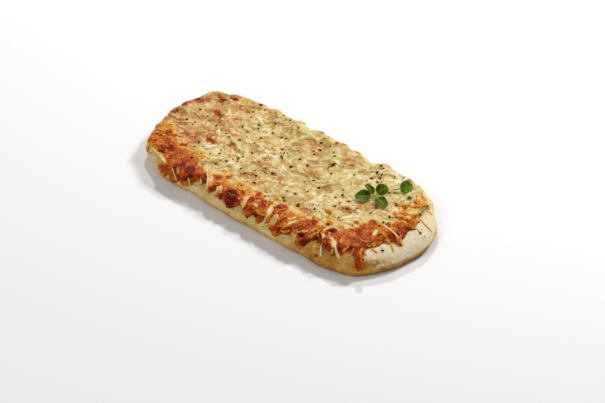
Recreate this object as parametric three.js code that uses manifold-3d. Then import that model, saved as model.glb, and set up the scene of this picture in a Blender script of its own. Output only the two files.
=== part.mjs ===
// Mini margherita pizza: an oval baked crust, tomato sauce, melted grated cheese and fresh herb leaves.
// Millimetres, +Z up, +X along the oval to its plain puffed end, origin under the middle of the outline.

import * as THREE from 'three';
import { mergeVertices } from 'three/addons/utils/BufferGeometryUtils.js';
import Module from 'manifold-3d';

const wasm = await Module();
wasm.setup();

// Plan of the oval: two straight sides and two half circles, cut into equal columns round its edge
const LENGTH = 250;
const WIDTH = 114;
const END_RADIUS = WIDTH / 2;
const HALF_STRAIGHT = LENGTH / 2 - END_RADIUS;
const STRAIGHT = 2 * HALF_STRAIGHT;
const QUARTER = Math.PI * END_RADIUS / 2;
const ROUND = 4 * QUARTER + 2 * STRAIGHT;
const COLUMNS = 134;

// The puffed end reaches further from the oval's middle than the covered end, so the whole is moved by this
const MIDDLE_SHIFT = -1.6;

// Where hand shaping pushed the edge out or left it in: distance round the oval from the puffed end,
// anticlockwise from above, how far along it reaches either way, and how far out it goes
const EDGE_SWELLS = [
  { at: 52, wide: 20, out: -4.5 },
  { at: 109.5, wide: 8, out: 1.5 },
  { at: 125.5, wide: 6, out: -4.5 },
  { at: 145.5, wide: 8, out: 1 },
  { at: 186.5, wide: 5, out: -3.2 },
  { at: 234.5, wide: 14, out: -4.5 },
  { at: 278.2, wide: 14, out: 4.5 },
  { at: 297, wide: 14, out: -1.6 },
  { at: 337.9, wide: 22, out: -5.5 },
  { at: 374.7, wide: 18, out: -2.6 },
  { at: 422.6, wide: 14, out: -0.8 },
  { at: 482.6, wide: 25, out: 1.4 },
  { at: 582.4, wide: 30, out: 6.5 },
];

// Section of the crust
const FOOT = 5;
const BULGE = 4.8;
const RIM_TOP = 10.6;
const RIM_ROUND = 8;
const PUFF = { at: 606, wide: 58, taller: 1.6, rounder: 6 };
const BED = 9.5;
const BED_SLOPE = 12;
const RIM_SHARES = [0, 0.32, 0.65, 1];

// Layers on the crust
const LAYER_GAP = 0.35;
const TRIM_GAP = 0.22;
const SAUCE_THICK = 1.2;
const SAUCE_LIP = 0.4;
const CHEESE_THICK = 2.7;
const CHEESE_LIP = 0.8;
const CHEESE_SHOULDER = 1.6;

// Crust left plain, measured up the skin from the widest edge to the cheese
const PLAIN = 8.5;
const PLAIN_END = { at: 618, wide: 51, more: 15 };
const COVERED_END = { at: 315, wide: 95, less: 4.5, lower: 0.8 };

// Tongues of cheese that ran over the edge: middle, half width, and where the lowest point ends
const TONGUES = [
  { at: 413.6, wide: 9, end: -2.5 },
  { at: 441.6, wide: 4, end: 4.5 },
  { at: 463.6, wide: 10, end: 3.5 },
  { at: 477.6, wide: 3.5, end: 5.5 },
  { at: 486.6, wide: 3.5, end: 4.5 },
  { at: 496.6, wide: 4, end: 5 },
  { at: 515.6, wide: 5, end: 4.5 },
  { at: 538.6, wide: 5, end: 4.5 },
  { at: 558.6, wide: 4.5, end: 6.5 },
  { at: 571.6, wide: 4.5, end: 13 },
  { at: 582.8, wide: 4, end: -1.5 },
  { at: 611.6, wide: 5, end: 15 },
  { at: 621.5, wide: 4, end: 13 },
  { at: 11.8, wide: 5, end: 15 },
  { at: 151.6, wide: 10, end: 5.5 },
  { at: 121, wide: 9, end: 6 },
  { at: 205, wide: 12, end: 5 },
  { at: 391, wide: 6, end: 1 },
];

// Grated strands that lie across the edge of the cheese, each from one place to another on the crust
const STRAND_WIDE = 2.4;
const STRAND_THICK = 1.5;
const STRAND_STEPS = 6;
const STRANDS = [
  { from: [542, 24], to: [555.8, 5.5] },
  { from: [557.6, 26], to: [568.7, 12] },
  { from: [32, 21], to: [15, 7] },
  { from: [20.6, 24], to: [9, 15] },
  { from: [620.3, 26], to: [615.9, 12] },
  { from: [609.5, 27], to: [608.5, 15] },
  { from: [582, 24], to: [586.4, 1] },
  { from: [371, 12], to: [386, 0.5] },
  { from: [384, 14], to: [396, 3] },
  { from: [424, 15], to: [436, 4.5] },
  { from: [510.6, 30], to: [498.6, 11] },
  { from: [476, 17], to: [482.6, 5] },
  { from: [499, 19], to: [506.6, 2.5] },
  { from: [448, 26], to: [452, 9] },
  { from: [528, 28], to: [521, 9] },
  { from: [596, 31], to: [600, 19] },
];

// Dried herb flakes, baked onto the cheese and the plain end of the crust
const CHEESE_FLAKES = 62;
const CRUST_FLAKES = 6;
const FLAKE_MIN = 0.8;
const FLAKE_MAX = 1.9;
const FLAKE_THICK = 0.45;
const FLAKE_SUNK = 0.1;
const FLAKE_SEED = 20;

// Fresh herb leaves: a sprig of four seen from above, and one loose leaf beside it
const LEAF_THICK = 0.4;
const LEAF_ROWS = 7;
const LEAF_COLUMNS = 4;
const STALK_RADIUS = 0.6;
const STALK_SIDES = 6;
const STALK_STEPS = 4;
const BUD_RADIUS = 1.1;
const SPRIG_HEART = [67, 16.3, 16.4];
const SPRIG_LEAVES = [
  { tip: [60, 5, 15.1], face: [0.15, -0.1, 1], width: 9, arch: 1.1 },
  { tip: [57.6, 17.3, 20.6], face: [0.5, 0.8, 0.6], width: 7, arch: 0.8 },
  { tip: [70.2, 25.9, 20.4], face: [0.25, -0.6, 0.8], width: 9, arch: 0.6 },
  { tip: [81.9, 12, 15.2], face: [0.05, -0.1, 1], width: 9, arch: 1.4 },
];
const SPRIG_STALK = [[67, 16.3, 16.6], [66, 19.5, 15.6], [65, 23, 15.3]];
const LOOSE_LEAF = {
  root: [74.9, 35, 15.6],
  tip: [80.6, 42.6, 16.2],
  face: [0.3, -0.3, 0.9],
  width: 9,
  arch: 0.8,
};
const LOOSE_STALK = [[75.6, 36, 15.7], [73.6, 33.6, 15.5], [71.2, 31.2, 14.9]];

const MATERIALS = {
  crust: { color: 0xd9b885, roughness: 0.85, metalness: 0 },
  sauce: { color: 0xa63c17, roughness: 0.35, metalness: 0 },
  cheese: { color: 0xe6cf93, roughness: 0.4, metalness: 0 },
  leaf: { color: 0x4f7a35, roughness: 0.55, metalness: 0 },
};

// Smallest way round the oval between two places on its edge
function apart(a, b) {
  const way = (((a - b) % ROUND) + ROUND) % ROUND;
  return Math.min(way, ROUND - way);
}

function swell(along, at, wide, power = 2) {
  return Math.exp(-((apart(along, at) / wide) ** power));
}

function smooth(value) {
  const t = Math.min(1, Math.max(0, value));
  return t * t * (3 - 2 * t);
}

// Foot of the spoke on the oval's middle line, and the direction that it points in
function spoke(along) {
  const s = ((along % ROUND) + ROUND) % ROUND;
  if (s < QUARTER) return { x: HALF_STRAIGHT, turn: s / END_RADIUS };
  if (s < QUARTER + STRAIGHT) return { x: HALF_STRAIGHT + QUARTER - s, turn: Math.PI / 2 };
  if (s < ROUND - QUARTER - STRAIGHT) return { x: -HALF_STRAIGHT, turn: (s - STRAIGHT) / END_RADIUS };
  if (s < ROUND - QUARTER) return { x: s - ROUND + QUARTER + HALF_STRAIGHT, turn: -Math.PI / 2 };
  return { x: HALF_STRAIGHT, turn: (s - ROUND) / END_RADIUS };
}

function ripple(along, waves, phase) {
  return Math.sin(2 * Math.PI * waves * along / ROUND + phase);
}

function halfWidth(along) {
  const ripples = 0.5 * ripple(along, 11, 1.3) + 0.35 * ripple(along, 23, 0.4);
  return EDGE_SWELLS.reduce((sum, s) => sum + s.out * swell(along, s.at, s.wide), END_RADIUS + ripples);
}

function rimTop(along) {
  const lumps = 0.25 * ripple(along, 7, 2.2) + 0.25 * ripple(along, 17, 0.3);
  const sunk = COVERED_END.lower * swell(along, COVERED_END.at, COVERED_END.wide, 4);
  return RIM_TOP + lumps - sunk + PUFF.taller * swell(along, PUFF.at, PUFF.wide, 4);
}

function rimRound(along) {
  return RIM_ROUND + PUFF.rounder * swell(along, PUFF.at, PUFF.wide, 4);
}

// Length of a quarter ellipse, near enough
function quarterArc(a, b) {
  return Math.PI / 2 * Math.sqrt((a * a + b * b) / 2);
}

function rimReach(along) {
  return quarterArc(rimRound(along), rimTop(along) - BULGE);
}

function bedReach(along) {
  return rimReach(along) + BED_SLOPE;
}

function spineReach(along) {
  return rimReach(along) + halfWidth(along) - rimRound(along);
}

// A point on the crust's skin. reach runs up the skin and inwards from the widest edge, down it if
// negative, and lift is how far the point stands off the skin.
function skin(along, reach, lift = 0) {
  const round = rimRound(along);
  const top = rimTop(along);
  const rim = rimReach(along);
  let inset = round + reach - rim;
  let height = top - (top - BED) * Math.min(1, (reach - rim) / BED_SLOPE);
  let lean = 0;
  let rise = 1;
  if (reach < 0) {
    const turn = Math.PI / 2 * Math.max(-1, reach / quarterArc(FOOT, BULGE));
    inset = FOOT * (1 - Math.cos(turn));
    height = BULGE * (1 + Math.sin(turn));
    lean = BULGE * Math.cos(turn);
    rise = FOOT * Math.sin(turn);
  } else if (reach < rim) {
    const turn = Math.PI / 2 * reach / rim;
    inset = round * (1 - Math.cos(turn));
    height = BULGE + (top - BULGE) * Math.sin(turn);
    lean = (top - BULGE) * Math.cos(turn);
    rise = round * Math.sin(turn);
  }
  const slant = Math.hypot(lean, rise);
  const out = halfWidth(along) - inset + lift * lean / slant;
  const { x, turn } = spoke(along);
  return [x + out * Math.cos(turn), out * Math.sin(turn), height + lift * rise / slant];
}

// Where the layers end, as a reach up the skin
function plainEdge(along) {
  const end = PLAIN_END.more * swell(along, PLAIN_END.at, PLAIN_END.wide, 6);
  const covered = COVERED_END.less * swell(along, COVERED_END.at, COVERED_END.wide, 4);
  return PLAIN + end - covered + 0.7 * ripple(along, 31, 0.9) + 0.5 * ripple(along, 47, 2.4);
}

function sauceEdge(along) {
  return plainEdge(along) - 0.8 + 0.6 * ripple(along, 19, 1.1);
}

function cheeseEdge(along) {
  const plain = plainEdge(along) + 0.6;
  const ends = TONGUES.map((t) => plain + (t.end - plain) * swell(along, t.at, t.wide));
  return Math.min(plain, ...ends);
}

function overSauce(along, reach) {
  const covered = smooth((reach - sauceEdge(along) + 3) / 2);
  return LAYER_GAP + covered * (SAUCE_THICK + LAYER_GAP);
}

// Height of the melted lumps over the plan of the cheese
function lumps(x, y) {
  return 0.45 * Math.sin(0.17 * x + 0.12 * y + 1)
    + 0.4 * Math.sin(0.21 * y - 0.1 * x + 2.1)
    + 0.3 * Math.sin(0.26 * x - 0.17 * y + 4);
}

function cheeseTop(along, reach) {
  const inwards = reach - cheeseEdge(along);
  const full = CHEESE_LIP + (CHEESE_THICK - CHEESE_LIP) * smooth(inwards / 7 + 0.25);
  const [x, y] = skin(along, reach);
  return overSauce(along, reach) + full + lumps(x, y) * smooth(inwards / 9);
}

function joined(geometry) {
  const whole = mergeVertices(geometry, 1e-3);
  const index = whole.getIndex().array;
  const kept = [];
  for (let i = 0; i < index.length; i += 3) {
    const [a, b, c] = index.slice(i, i + 3);
    if (a !== b && b !== c && c !== a) kept.push(a, b, c);
  }
  whole.setIndex(kept);
  return whole;
}

function bare(geometry) {
  geometry.deleteAttribute('normal');
  geometry.deleteAttribute('uv');
  return geometry;
}

// A layer wrapped round the oval. Its rings run from the middle line out over the top, round the edge
// and back under; each gives a reach and a lift for a place along the oval.
function layer(rings) {
  const grid = bare(new THREE.PlaneGeometry(1, 1, COLUMNS, rings.length - 1));
  const corners = grid.getAttribute('position');
  for (let i = 0; i < corners.count; i += 1) {
    const column = i % (COLUMNS + 1) % COLUMNS;
    const along = column * ROUND / COLUMNS;
    const [reach, lift] = rings[Math.floor(i / (COLUMNS + 1))](along);
    corners.setXYZ(i, ...skin(along, reach, lift));
  }
  return joined(grid);
}

// Places up the round of the rim, and any others given, put in order and none lower than the edge
function overRim(along, edge, ...others) {
  const places = [...RIM_SHARES.map((share) => share * rimReach(along)), ...others];
  return [edge, ...places.map((place) => Math.max(place, edge)).sort((a, b) => a - b)];
}

// The crust, or a copy that stands off it by the given lift
function crust(lift = 0) {
  return layer([
    (s) => [spineReach(s), lift],
    (s) => [bedReach(s), lift],
    ...RIM_SHARES.map((share) => (s) => [rimReach(s) * share, lift]).reverse(),
    () => [-quarterArc(FOOT, BULGE) / 2, lift],
    () => [-quarterArc(FOOT, BULGE), lift],
    (s) => [spineReach(s), -BED - lift],
  ]);
}

// The sauce, or a copy that stands off it by the given lift
function tomatoSauce(lift = 0) {
  const low = LAYER_GAP - lift;
  const full = LAYER_GAP + SAUCE_THICK + lift;
  const edge = (s) => sauceEdge(s) - lift;
  const under = [0, 1, 2, 3, 4].map((i) => (s) => [overRim(s, edge(s))[i], low]);
  return layer([
    (s) => [spineReach(s), full],
    (s) => [bedReach(s), full],
    (s) => [Math.max(edge(s) + 3, rimReach(s)), full],
    (s) => [Math.max(edge(s) + 2, rimReach(s) * 0.65), full],
    (s) => [edge(s), LAYER_GAP + SAUCE_LIP + lift],
    ...under,
    (s) => [bedReach(s), low],
    (s) => [spineReach(s), low],
  ]);
}

function cheeseSheet() {
  const edge = cheeseEdge;
  const top = (reach) => (s) => [reach(s), cheeseTop(s, reach(s))];
  const under = (reach) => (s) => [reach(s), overSauce(s, reach(s))];
  const inner = (share) => (s) => bedReach(s) + share * (spineReach(s) - bedReach(s));
  const belowRim = [0, 1, 2, 3, 4, 5, 6].map((i) => {
    return under((s) => overRim(s, edge(s), sauceEdge(s) - 3, sauceEdge(s) - 1)[i]);
  });
  return layer([
    top(inner(1)),
    top(inner(0.66)),
    top(inner(0.33)),
    top(inner(0)),
    top((s) => Math.max(edge(s) + 3 * CHEESE_SHOULDER, rimReach(s))),
    top((s) => Math.max(edge(s) + 2 * CHEESE_SHOULDER, rimReach(s) * 0.6)),
    top((s) => edge(s) + CHEESE_SHOULDER),
    (s) => [edge(s), overSauce(s, edge(s)) + CHEESE_LIP],
    ...belowRim,
    under(inner(0)),
    under(inner(1)),
  ]);
}

// A grated strand: a strip with rounded shoulders laid over the cheese's edge and down onto the crust
function strand({ from, to }) {
  const section = [[-1, 0], [-0.7, 1], [0.7, 1], [1, 0]];
  const grid = bare(new THREE.PlaneGeometry(1, 1, section.length, STRAND_STEPS + 2));
  const corners = grid.getAttribute('position');
  const ahead = new THREE.Vector3(...skin(...to)).sub(new THREE.Vector3(...skin(...from)));
  const sideways = new THREE.Vector3(-ahead.y, ahead.x, 0).setLength(STRAND_WIDE / 2);
  for (let i = 0; i < corners.count; i += 1) {
    const [across, up] = section[i % (section.length + 1) % section.length];
    const row = Math.floor(i / (section.length + 1));
    const step = Math.min(STRAND_STEPS, Math.max(0, row - 1)) / STRAND_STEPS;
    const open = row === 0 || row === STRAND_STEPS + 2 ? 0 : 1 - 0.5 * step;
    const along = from[0] + step * (((to[0] - from[0] + 1.5 * ROUND) % ROUND) - ROUND / 2);
    const reach = from[1] + step * (to[1] - from[1]);
    const onCheese = smooth((reach - cheeseEdge(along) + 1) / 2);
    const floor = LAYER_GAP + 0.1 + onCheese * (cheeseTop(along, Math.max(reach, cheeseEdge(along))) - 1.1);
    const middle = new THREE.Vector3(...skin(along, reach, floor + open * up * STRAND_THICK));
    middle.addScaledVector(sideways, across * open);
    corners.setXYZ(i, middle.x, middle.y, middle.z);
  }
  return joined(grid);
}

function solid(geometry) {
  return new wasm.Manifold(new wasm.Mesh({
    numProp: 3,
    vertProperties: new Float32Array(geometry.getAttribute('position').array),
    triVerts: new Uint32Array(geometry.getIndex().array),
  }));
}

// One body of several closed shapes, cut clear of others, without any scrap that touches nothing
function fused(geometries, cutters = []) {
  const whole = geometries.map(solid).reduce((sum, next) => sum.add(next));
  const clear = cutters.map(solid).reduce((left, cutter) => left.subtract(cutter), whole);
  const [largest] = clear.decompose().sort((a, b) => b.volume() - a.volume());
  const mesh = largest.getMesh();
  const geometry = new THREE.BufferGeometry();
  geometry.setAttribute('position', new THREE.BufferAttribute(new Float32Array(mesh.vertProperties), 3));
  geometry.setIndex(Array.from(mesh.triVerts));
  return geometry;
}

// The same run of even numbers from 0 to 1 every time
let seed = FLAKE_SEED;
function draw() {
  seed = (seed * 1664525 + 1013904223) % 2 ** 32;
  return seed / 2 ** 32;
}

// A flat herb flake with ragged corners, sunk a little into what it lies on
function flake(along, reach, lift, size) {
  const chip = bare(new THREE.IcosahedronGeometry(1, 0));
  const corners = joined(chip);
  corners.scale(size, size * (0.45 + 0.4 * draw()), FLAKE_THICK);
  corners.rotateZ(Math.PI * draw());
  corners.translate(...skin(along, reach, lift - FLAKE_SUNK));
  return corners;
}

function nearLeaves(x, y) {
  const [heartX, heartY] = SPRIG_HEART;
  const [looseX, looseY] = LOOSE_LEAF.root;
  return Math.hypot(x - heartX, y - heartY) < 15 || Math.hypot(x - looseX, y - looseY) < 9;
}

function cheeseFlakes() {
  const flakes = [];
  while (flakes.length < CHEESE_FLAKES) {
    const size = FLAKE_MIN + (FLAKE_MAX - FLAKE_MIN) * (1 - flakes.length / CHEESE_FLAKES) ** 2;
    const along = ROUND * draw();
    const inwards = Math.sqrt(draw());
    const reach = spineReach(along) + inwards * (cheeseEdge(along) + 4 - spineReach(along));
    const [x, y] = skin(along, reach);
    const crowded = along > 100 && along < 540 && draw() < 0.2;
    if (!nearLeaves(x, y) && !crowded) flakes.push(flake(along, reach, cheeseTop(along, reach), size));
  }
  return flakes;
}

function crustFlakes() {
  return Array.from({ length: CRUST_FLAKES }, (_, i) => {
    const along = ROUND - 42 + 14 * i + 6 * draw();
    return flake(along, cheeseEdge(along) - 7 + 4 * draw(), 0, FLAKE_MIN + 0.5 * draw());
  });
}

// A thin solid between two like faces, both split into triangles alike
function thinSolid(columns, rows, place, offset) {
  const grid = bare(new THREE.PlaneGeometry(1, 1, columns, rows));
  const corners = grid.getAttribute('position');
  const faces = Array.from(grid.getIndex().array);
  const count = corners.count;
  const points = new Float32Array(count * 6);
  for (let i = 0; i < count; i += 1) {
    const middle = place(corners.getX(i) * 2, 0.5 - corners.getY(i));
    points.set(middle.clone().add(offset).toArray(), i * 3);
    points.set(middle.clone().sub(offset).toArray(), (count + i) * 3);
  }
  const index = [...faces];
  for (let i = 0; i < faces.length; i += 3) {
    index.push(faces[i + 2] + count, faces[i + 1] + count, faces[i] + count);
  }
  const right = Array.from({ length: rows }, (_, i) => (rows - i + 1) * (columns + 1) - 1);
  const back = Array.from({ length: columns }, (_, i) => columns - i);
  const left = Array.from({ length: rows }, (_, i) => i * (columns + 1));
  const front = Array.from({ length: columns }, (_, i) => rows * (columns + 1) + i);
  const rim = [...front, ...right, ...back, ...left];
  rim.forEach((a, i) => {
    const b = rim[(i + 1) % rim.length];
    index.push(a, a + count, b + count, a, b + count, b);
  });
  const geometry = new THREE.BufferGeometry();
  geometry.setAttribute('position', new THREE.BufferAttribute(points, 3));
  geometry.setIndex(index);
  return geometry;
}

// An oval herb leaf, folded a little along its midrib and waved at its edges
function leaf({ root, tip, face, width, arch }) {
  const from = new THREE.Vector3(...root);
  const to = new THREE.Vector3(...tip);
  const run = to.clone().sub(from);
  const side = new THREE.Vector3(...face).cross(run).normalize();
  const up = run.clone().cross(side).normalize();
  const crown = from.clone().add(to).multiplyScalar(0.5).addScaledVector(up, 2 * arch);
  const midrib = new THREE.QuadraticBezierCurve3(from, crown, to);
  const place = (across, share) => {
    const half = width / 2 * (0.07 + 0.93 * Math.sin(Math.PI * share ** 0.85) ** 0.6);
    const wave = 0.35 * Math.sin(9 * share + 2 * across) * across ** 2;
    const lift = 0.14 * width * across ** 2 * Math.sin(Math.PI * share) + wave;
    return midrib.getPoint(share).addScaledVector(side, across * half).addScaledVector(up, lift);
  };
  return thinSolid(LEAF_COLUMNS, LEAF_ROWS, place, up.clone().multiplyScalar(LEAF_THICK / 2));
}

function stalk(points) {
  const route = new THREE.CatmullRomCurve3(points.map((p) => new THREE.Vector3(...p)));
  const section = new THREE.Shape();
  for (let corner = 0; corner < STALK_SIDES; corner += 1) {
    const turn = 2 * Math.PI * corner / STALK_SIDES;
    section[corner ? 'lineTo' : 'moveTo'](STALK_RADIUS * Math.cos(turn), STALK_RADIUS * Math.sin(turn));
  }
  const settings = { extrudePath: route, steps: STALK_STEPS, bevelEnabled: false };
  return joined(bare(new THREE.ExtrudeGeometry(section, settings)));
}

function sprig() {
  const heart = new THREE.Vector3(...SPRIG_HEART);
  const bud = joined(bare(new THREE.IcosahedronGeometry(BUD_RADIUS, 0))).translate(...SPRIG_HEART);
  const leaves = SPRIG_LEAVES.map((shape) => {
    const apart = new THREE.Vector3(...shape.tip).sub(heart).setLength(BUD_RADIUS / 2);
    return leaf({ root: heart.clone().add(apart).toArray(), ...shape });
  });
  return fused([bud, stalk(SPRIG_STALK), ...leaves]);
}

function looseLeaf() {
  return fused([stalk(LOOSE_STALK), leaf(LOOSE_LEAF)]);
}

function piece(name, geometry, finish) {
  const mesh = new THREE.Mesh(geometry, new THREE.MeshStandardMaterial(finish));
  mesh.name = name;
  return mesh;
}

function cheese() {
  const pieces = [cheeseSheet(), ...STRANDS.map(strand), ...cheeseFlakes()];
  return fused(pieces, [crust(TRIM_GAP), tomatoSauce(TRIM_GAP)]);
}

const pizza = new THREE.Group();
pizza.position.x = MIDDLE_SHIFT;
pizza.add(
  piece('crust', fused([crust(), ...crustFlakes()]), MATERIALS.crust),
  piece('tomato_sauce', tomatoSauce(), MATERIALS.sauce),
  piece('cheese', cheese(), MATERIALS.cheese),
  piece('oregano_sprig', sprig(), MATERIALS.leaf),
  piece('oregano_leaf', looseLeaf(), MATERIALS.leaf),
);

export default pizza;
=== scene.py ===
import math
import random

import bmesh
import bpy
import numpy as np
from mathutils import Euler, Matrix, Vector
from mathutils.bvhtree import BVHTree


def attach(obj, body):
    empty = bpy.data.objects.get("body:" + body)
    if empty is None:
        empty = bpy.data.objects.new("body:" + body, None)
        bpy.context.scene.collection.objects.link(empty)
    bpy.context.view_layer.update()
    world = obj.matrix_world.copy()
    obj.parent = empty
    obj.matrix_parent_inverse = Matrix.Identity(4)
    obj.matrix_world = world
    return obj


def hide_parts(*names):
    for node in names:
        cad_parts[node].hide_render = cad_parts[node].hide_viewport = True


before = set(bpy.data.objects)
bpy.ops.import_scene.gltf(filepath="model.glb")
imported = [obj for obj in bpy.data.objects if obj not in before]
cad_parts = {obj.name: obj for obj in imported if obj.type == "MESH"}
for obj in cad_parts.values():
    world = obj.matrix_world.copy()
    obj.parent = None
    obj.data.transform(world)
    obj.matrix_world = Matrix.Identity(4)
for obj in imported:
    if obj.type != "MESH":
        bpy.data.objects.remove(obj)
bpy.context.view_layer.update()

# Sizes of the bread in millimetres, as its solids have them. Its middle stands this far beside the origin.
MIDDLE_SHIFT = -1.6
LENGTH = 250
END_RADIUS = 57
HALF_STRAIGHT = LENGTH / 2 - END_RADIUS
STRAIGHT = 2 * HALF_STRAIGHT
QUARTER = math.pi * END_RADIUS / 2
ROUND = 4 * QUARTER + 2 * STRAIGHT
FOOT = 5
BULGE = 4.8
RIM_TOP = 10.6
RIM_ROUND = 8
BED = 9.5
BED_SLOPE = 12
# The plain end puffed up: where round the oval, how wide, and how much taller and rounder.
PUFF_AT, PUFF_WIDE, PUFF_TALLER, PUFF_ROUNDER = 606, 58, 1.6, 6
# Where the outline swells or dips: round the oval, how wide, how far out.
EDGE_SWELLS = [
    (52, 20, -4.5), (109.5, 8, 1.5), (125.5, 6, -4.5), (145.5, 8, 1), (186.5, 5, -3.2),
    (234.5, 14, -4.5), (278.2, 14, 4.5), (297, 14, -1.6), (337.9, 22, -5.5), (374.7, 18, -2.6),
    (422.6, 14, -0.8), (482.6, 25, 1.4), (582.4, 30, 6.5),
]

# Waves that close on themselves round the oval: how high, how many, where they start.
EDGE_WAVES = [(0.5, 11, 1.3), (0.35, 23, 0.4)]
RIM_WAVES = [(0.25, 7, 2.2), (0.25, 17, 0.3)]
PLAIN_WAVES = [(0.7, 31, 0.9), (0.5, 47, 2.4)]
SAUCE_WAVES = [(0.9, 19, 1.1)]

# The dough's skin: how high its long swells, fine lumps and blisters are, and the crease along its side: how
# deep, how far over from the widest line, how far it wanders, how wide.
DOUGH_SWELL, DOUGH_LUMP, DOUGH_BLISTER = 0.35, 0.16, 0.5
CREASE_DEEP, CREASE_AT, CREASE_WANDERS, CREASE_WIDE = 0.35, 3.4, 1.6, 0.7

# Sizes of the sauce and the cheese, in millimetres.
LAYER_GAP = 0.35
SAUCE_THICK = 1.2
CHEESE_THICK = 2.7
CHEESE_LIP = 0.8
# How far in from its edge the cheese is rounded, comes to its full thickness, and gets its slow lumps.
CHEESE_ROUND, CHEESE_FULL_OVER, CHEESE_INNER_OVER = 1.8, 7, 9
# Its relief: the melted shreds and curds where it is pale, the bubbles, shreds and runs where it is crisp,
# how deep it sinks at the sauce spots stronger than SUNK_FROM, and the drips at its edge.
PALE_SHREDS, PALE_CURDS, CRISP_BUBBLES, CRISP_SHREDS, CRISP_RUNS = 0.9, 0.45, 0.6, 0.2, 0.5
SUNK_DEEP, SUNK_FROM, DRIPS = 0.4, 0.55, 0.35
# How far over from its widest line the bread stays bare. It is more round the plain end, and less round the
# end that the cheese covers, where the rim is lower too: where round the oval, how wide, how much.
PLAIN = 8.5
PLAIN_END_AT, PLAIN_END_WIDE, PLAIN_END_MORE = 618, 51, 15
COVERED_AT, COVERED_WIDE, COVERED_LESS, COVERED_LOWER = 315, 95, 4.5, 0.8
# Slow rises and dips of the melted cheese: how high, how they turn across and along, where they start.
LUMPS = [(0.45, 0.17, 0.12, 1), (0.4, -0.1, 0.21, 2.1), (0.3, 0.26, -0.17, 4)]
# Where the cheese ends on the side that the photo shows: how far round the oval, and how far over from the
# bread's widest line. It runs on past the oval's start.
CHEESE_EDGE = [
    (352, 5), (360, 3), (366, -1), (371, 0.5), (375, 5.5), (392, 7), (393.5, 3), (399, 2), (402.5, 1.5),
    (403.6, -1), (405, 4.5), (410, 0), (412, -0.6), (415, 0.6), (416, 3.4), (419.6, 0), (423.5, 1.4),
    (426.5, 1.8), (427.6, 4), (432.4, 4.6), (434.4, 7), (436, 11), (438.8, 8.6), (442.4, 6.2),
    (445.6, 5.4), (448, 9.8), (451.6, 8.6), (452.4, 5), (454, 7.4), (457.2, 5.8), (461.6, 5.8),
    (465.2, 3.8), (468.8, 5), (471.6, 7.4), (472.6, 10), (474.8, 8.6), (478.8, 7.4), (480.4, 5.4),
    (483.6, 4.2), (485.6, 3.4), (487.2, 7), (492, 7), (493.2, 4.2), (496.4, 4.2), (497.5, 8),
    (501.6, 7.4), (504.4, 5.4), (507.6, 4.2), (512, 1.4), (516, 3), (517.2, 5.4), (522.4, 7),
    (527.2, 8.2), (530.4, 4.2), (534.8, 3.4), (539, 3.4), (540, 11), (541.5, 15), (545, 16.5),
    (549, 14), (558, 11), (564.4, 10.5), (567.4, 13.4), (570.4, 12), (573, 17), (577.2, 18.5),
    (578.9, 14), (580, 12), (580.9, 4), (582.8, 0.8), (584.6, 3.4), (585.6, 14), (588.8, 20),
    (593.2, 21.4), (597.2, 20), (601.2, 19.4), (605.2, 23), (608.8, 22.2), (609.8, 16), (611.5, 19.5),
    (614.8, 18.6), (616.2, 12.6), (618.8, 11.4), (620.5, 16), (625.2, 16.2), (629.2, 17.4), (637, 21),
    (641.6, 15), (644.4, 20), (649.7, 16.6), (656, 15), (664, 16.2), (671, 12.2), (676.5, 9.4),
    (680.5, 6.2), (690, 8),
]

# How far its corners are rounded, how soon it joins the hidden rest, and how far in from the bare rim that
# rest ends.
EDGE_ROUNDING, EDGE_JOIN, EDGE_GAP = 0.7, 6, 0.6

# The camera, in millimetres and degrees. A place listed as seen is where the camera sees it on the plane at
# SEEN_HEIGHT.
CAMERA_PLACE = np.array([1425.2, -1441.3, 1400.0])
CAMERA_AZIMUTH = 44.439
CAMERA_ELEVATION = 34.876
CAMERA_ROLL = -0.772
CAMERA_LENS = 205.35
CAMERA_FILM = 36
CAMERA_CLIP = (0.01, 50)
SEEN_HEIGHT = 14.0

# The browned ring, at places round the oval: how far in it reaches, and how dark it is.
BROWN_LINE = [
    (0, 27), (18, 27), (34, 31), (46, 23), (62, 16), (80, 0), (330, 0), (338, 12), (352, 22), (372, 27),
    (392, 30), (411, 31), (421, 24), (440, 23), (472, 24), (505, 26), (530, 28), (552, 32), (575, 38),
    (600, 41), (618, 41), (ROUND, 27),
]
BROWN_LEVEL = [
    (0, 0.42), (14, 0.27), (35, 0.23), (62, 0.24), (80, 0.2), (330, 0.34), (350, 0.32), (385, 0.35),
    (405, 0.4), (440, 0.43), (500, 0.38), (540, 0.42), (585, 0.43), (605, 0.44), (ROUND, 0.42),
]
# How softly its inner edge fades, how far that edge is torn, and how uneven it is in patches, speckles and
# streaks. GOLDEN is how browned golden cheese is.
RING_FADE, RING_TORN = 10, 5
RING_PATCHES, RING_SPECKLES, RING_STREAKS = 0.26, 0.06, 0.12
GOLDEN = 0.3
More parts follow.
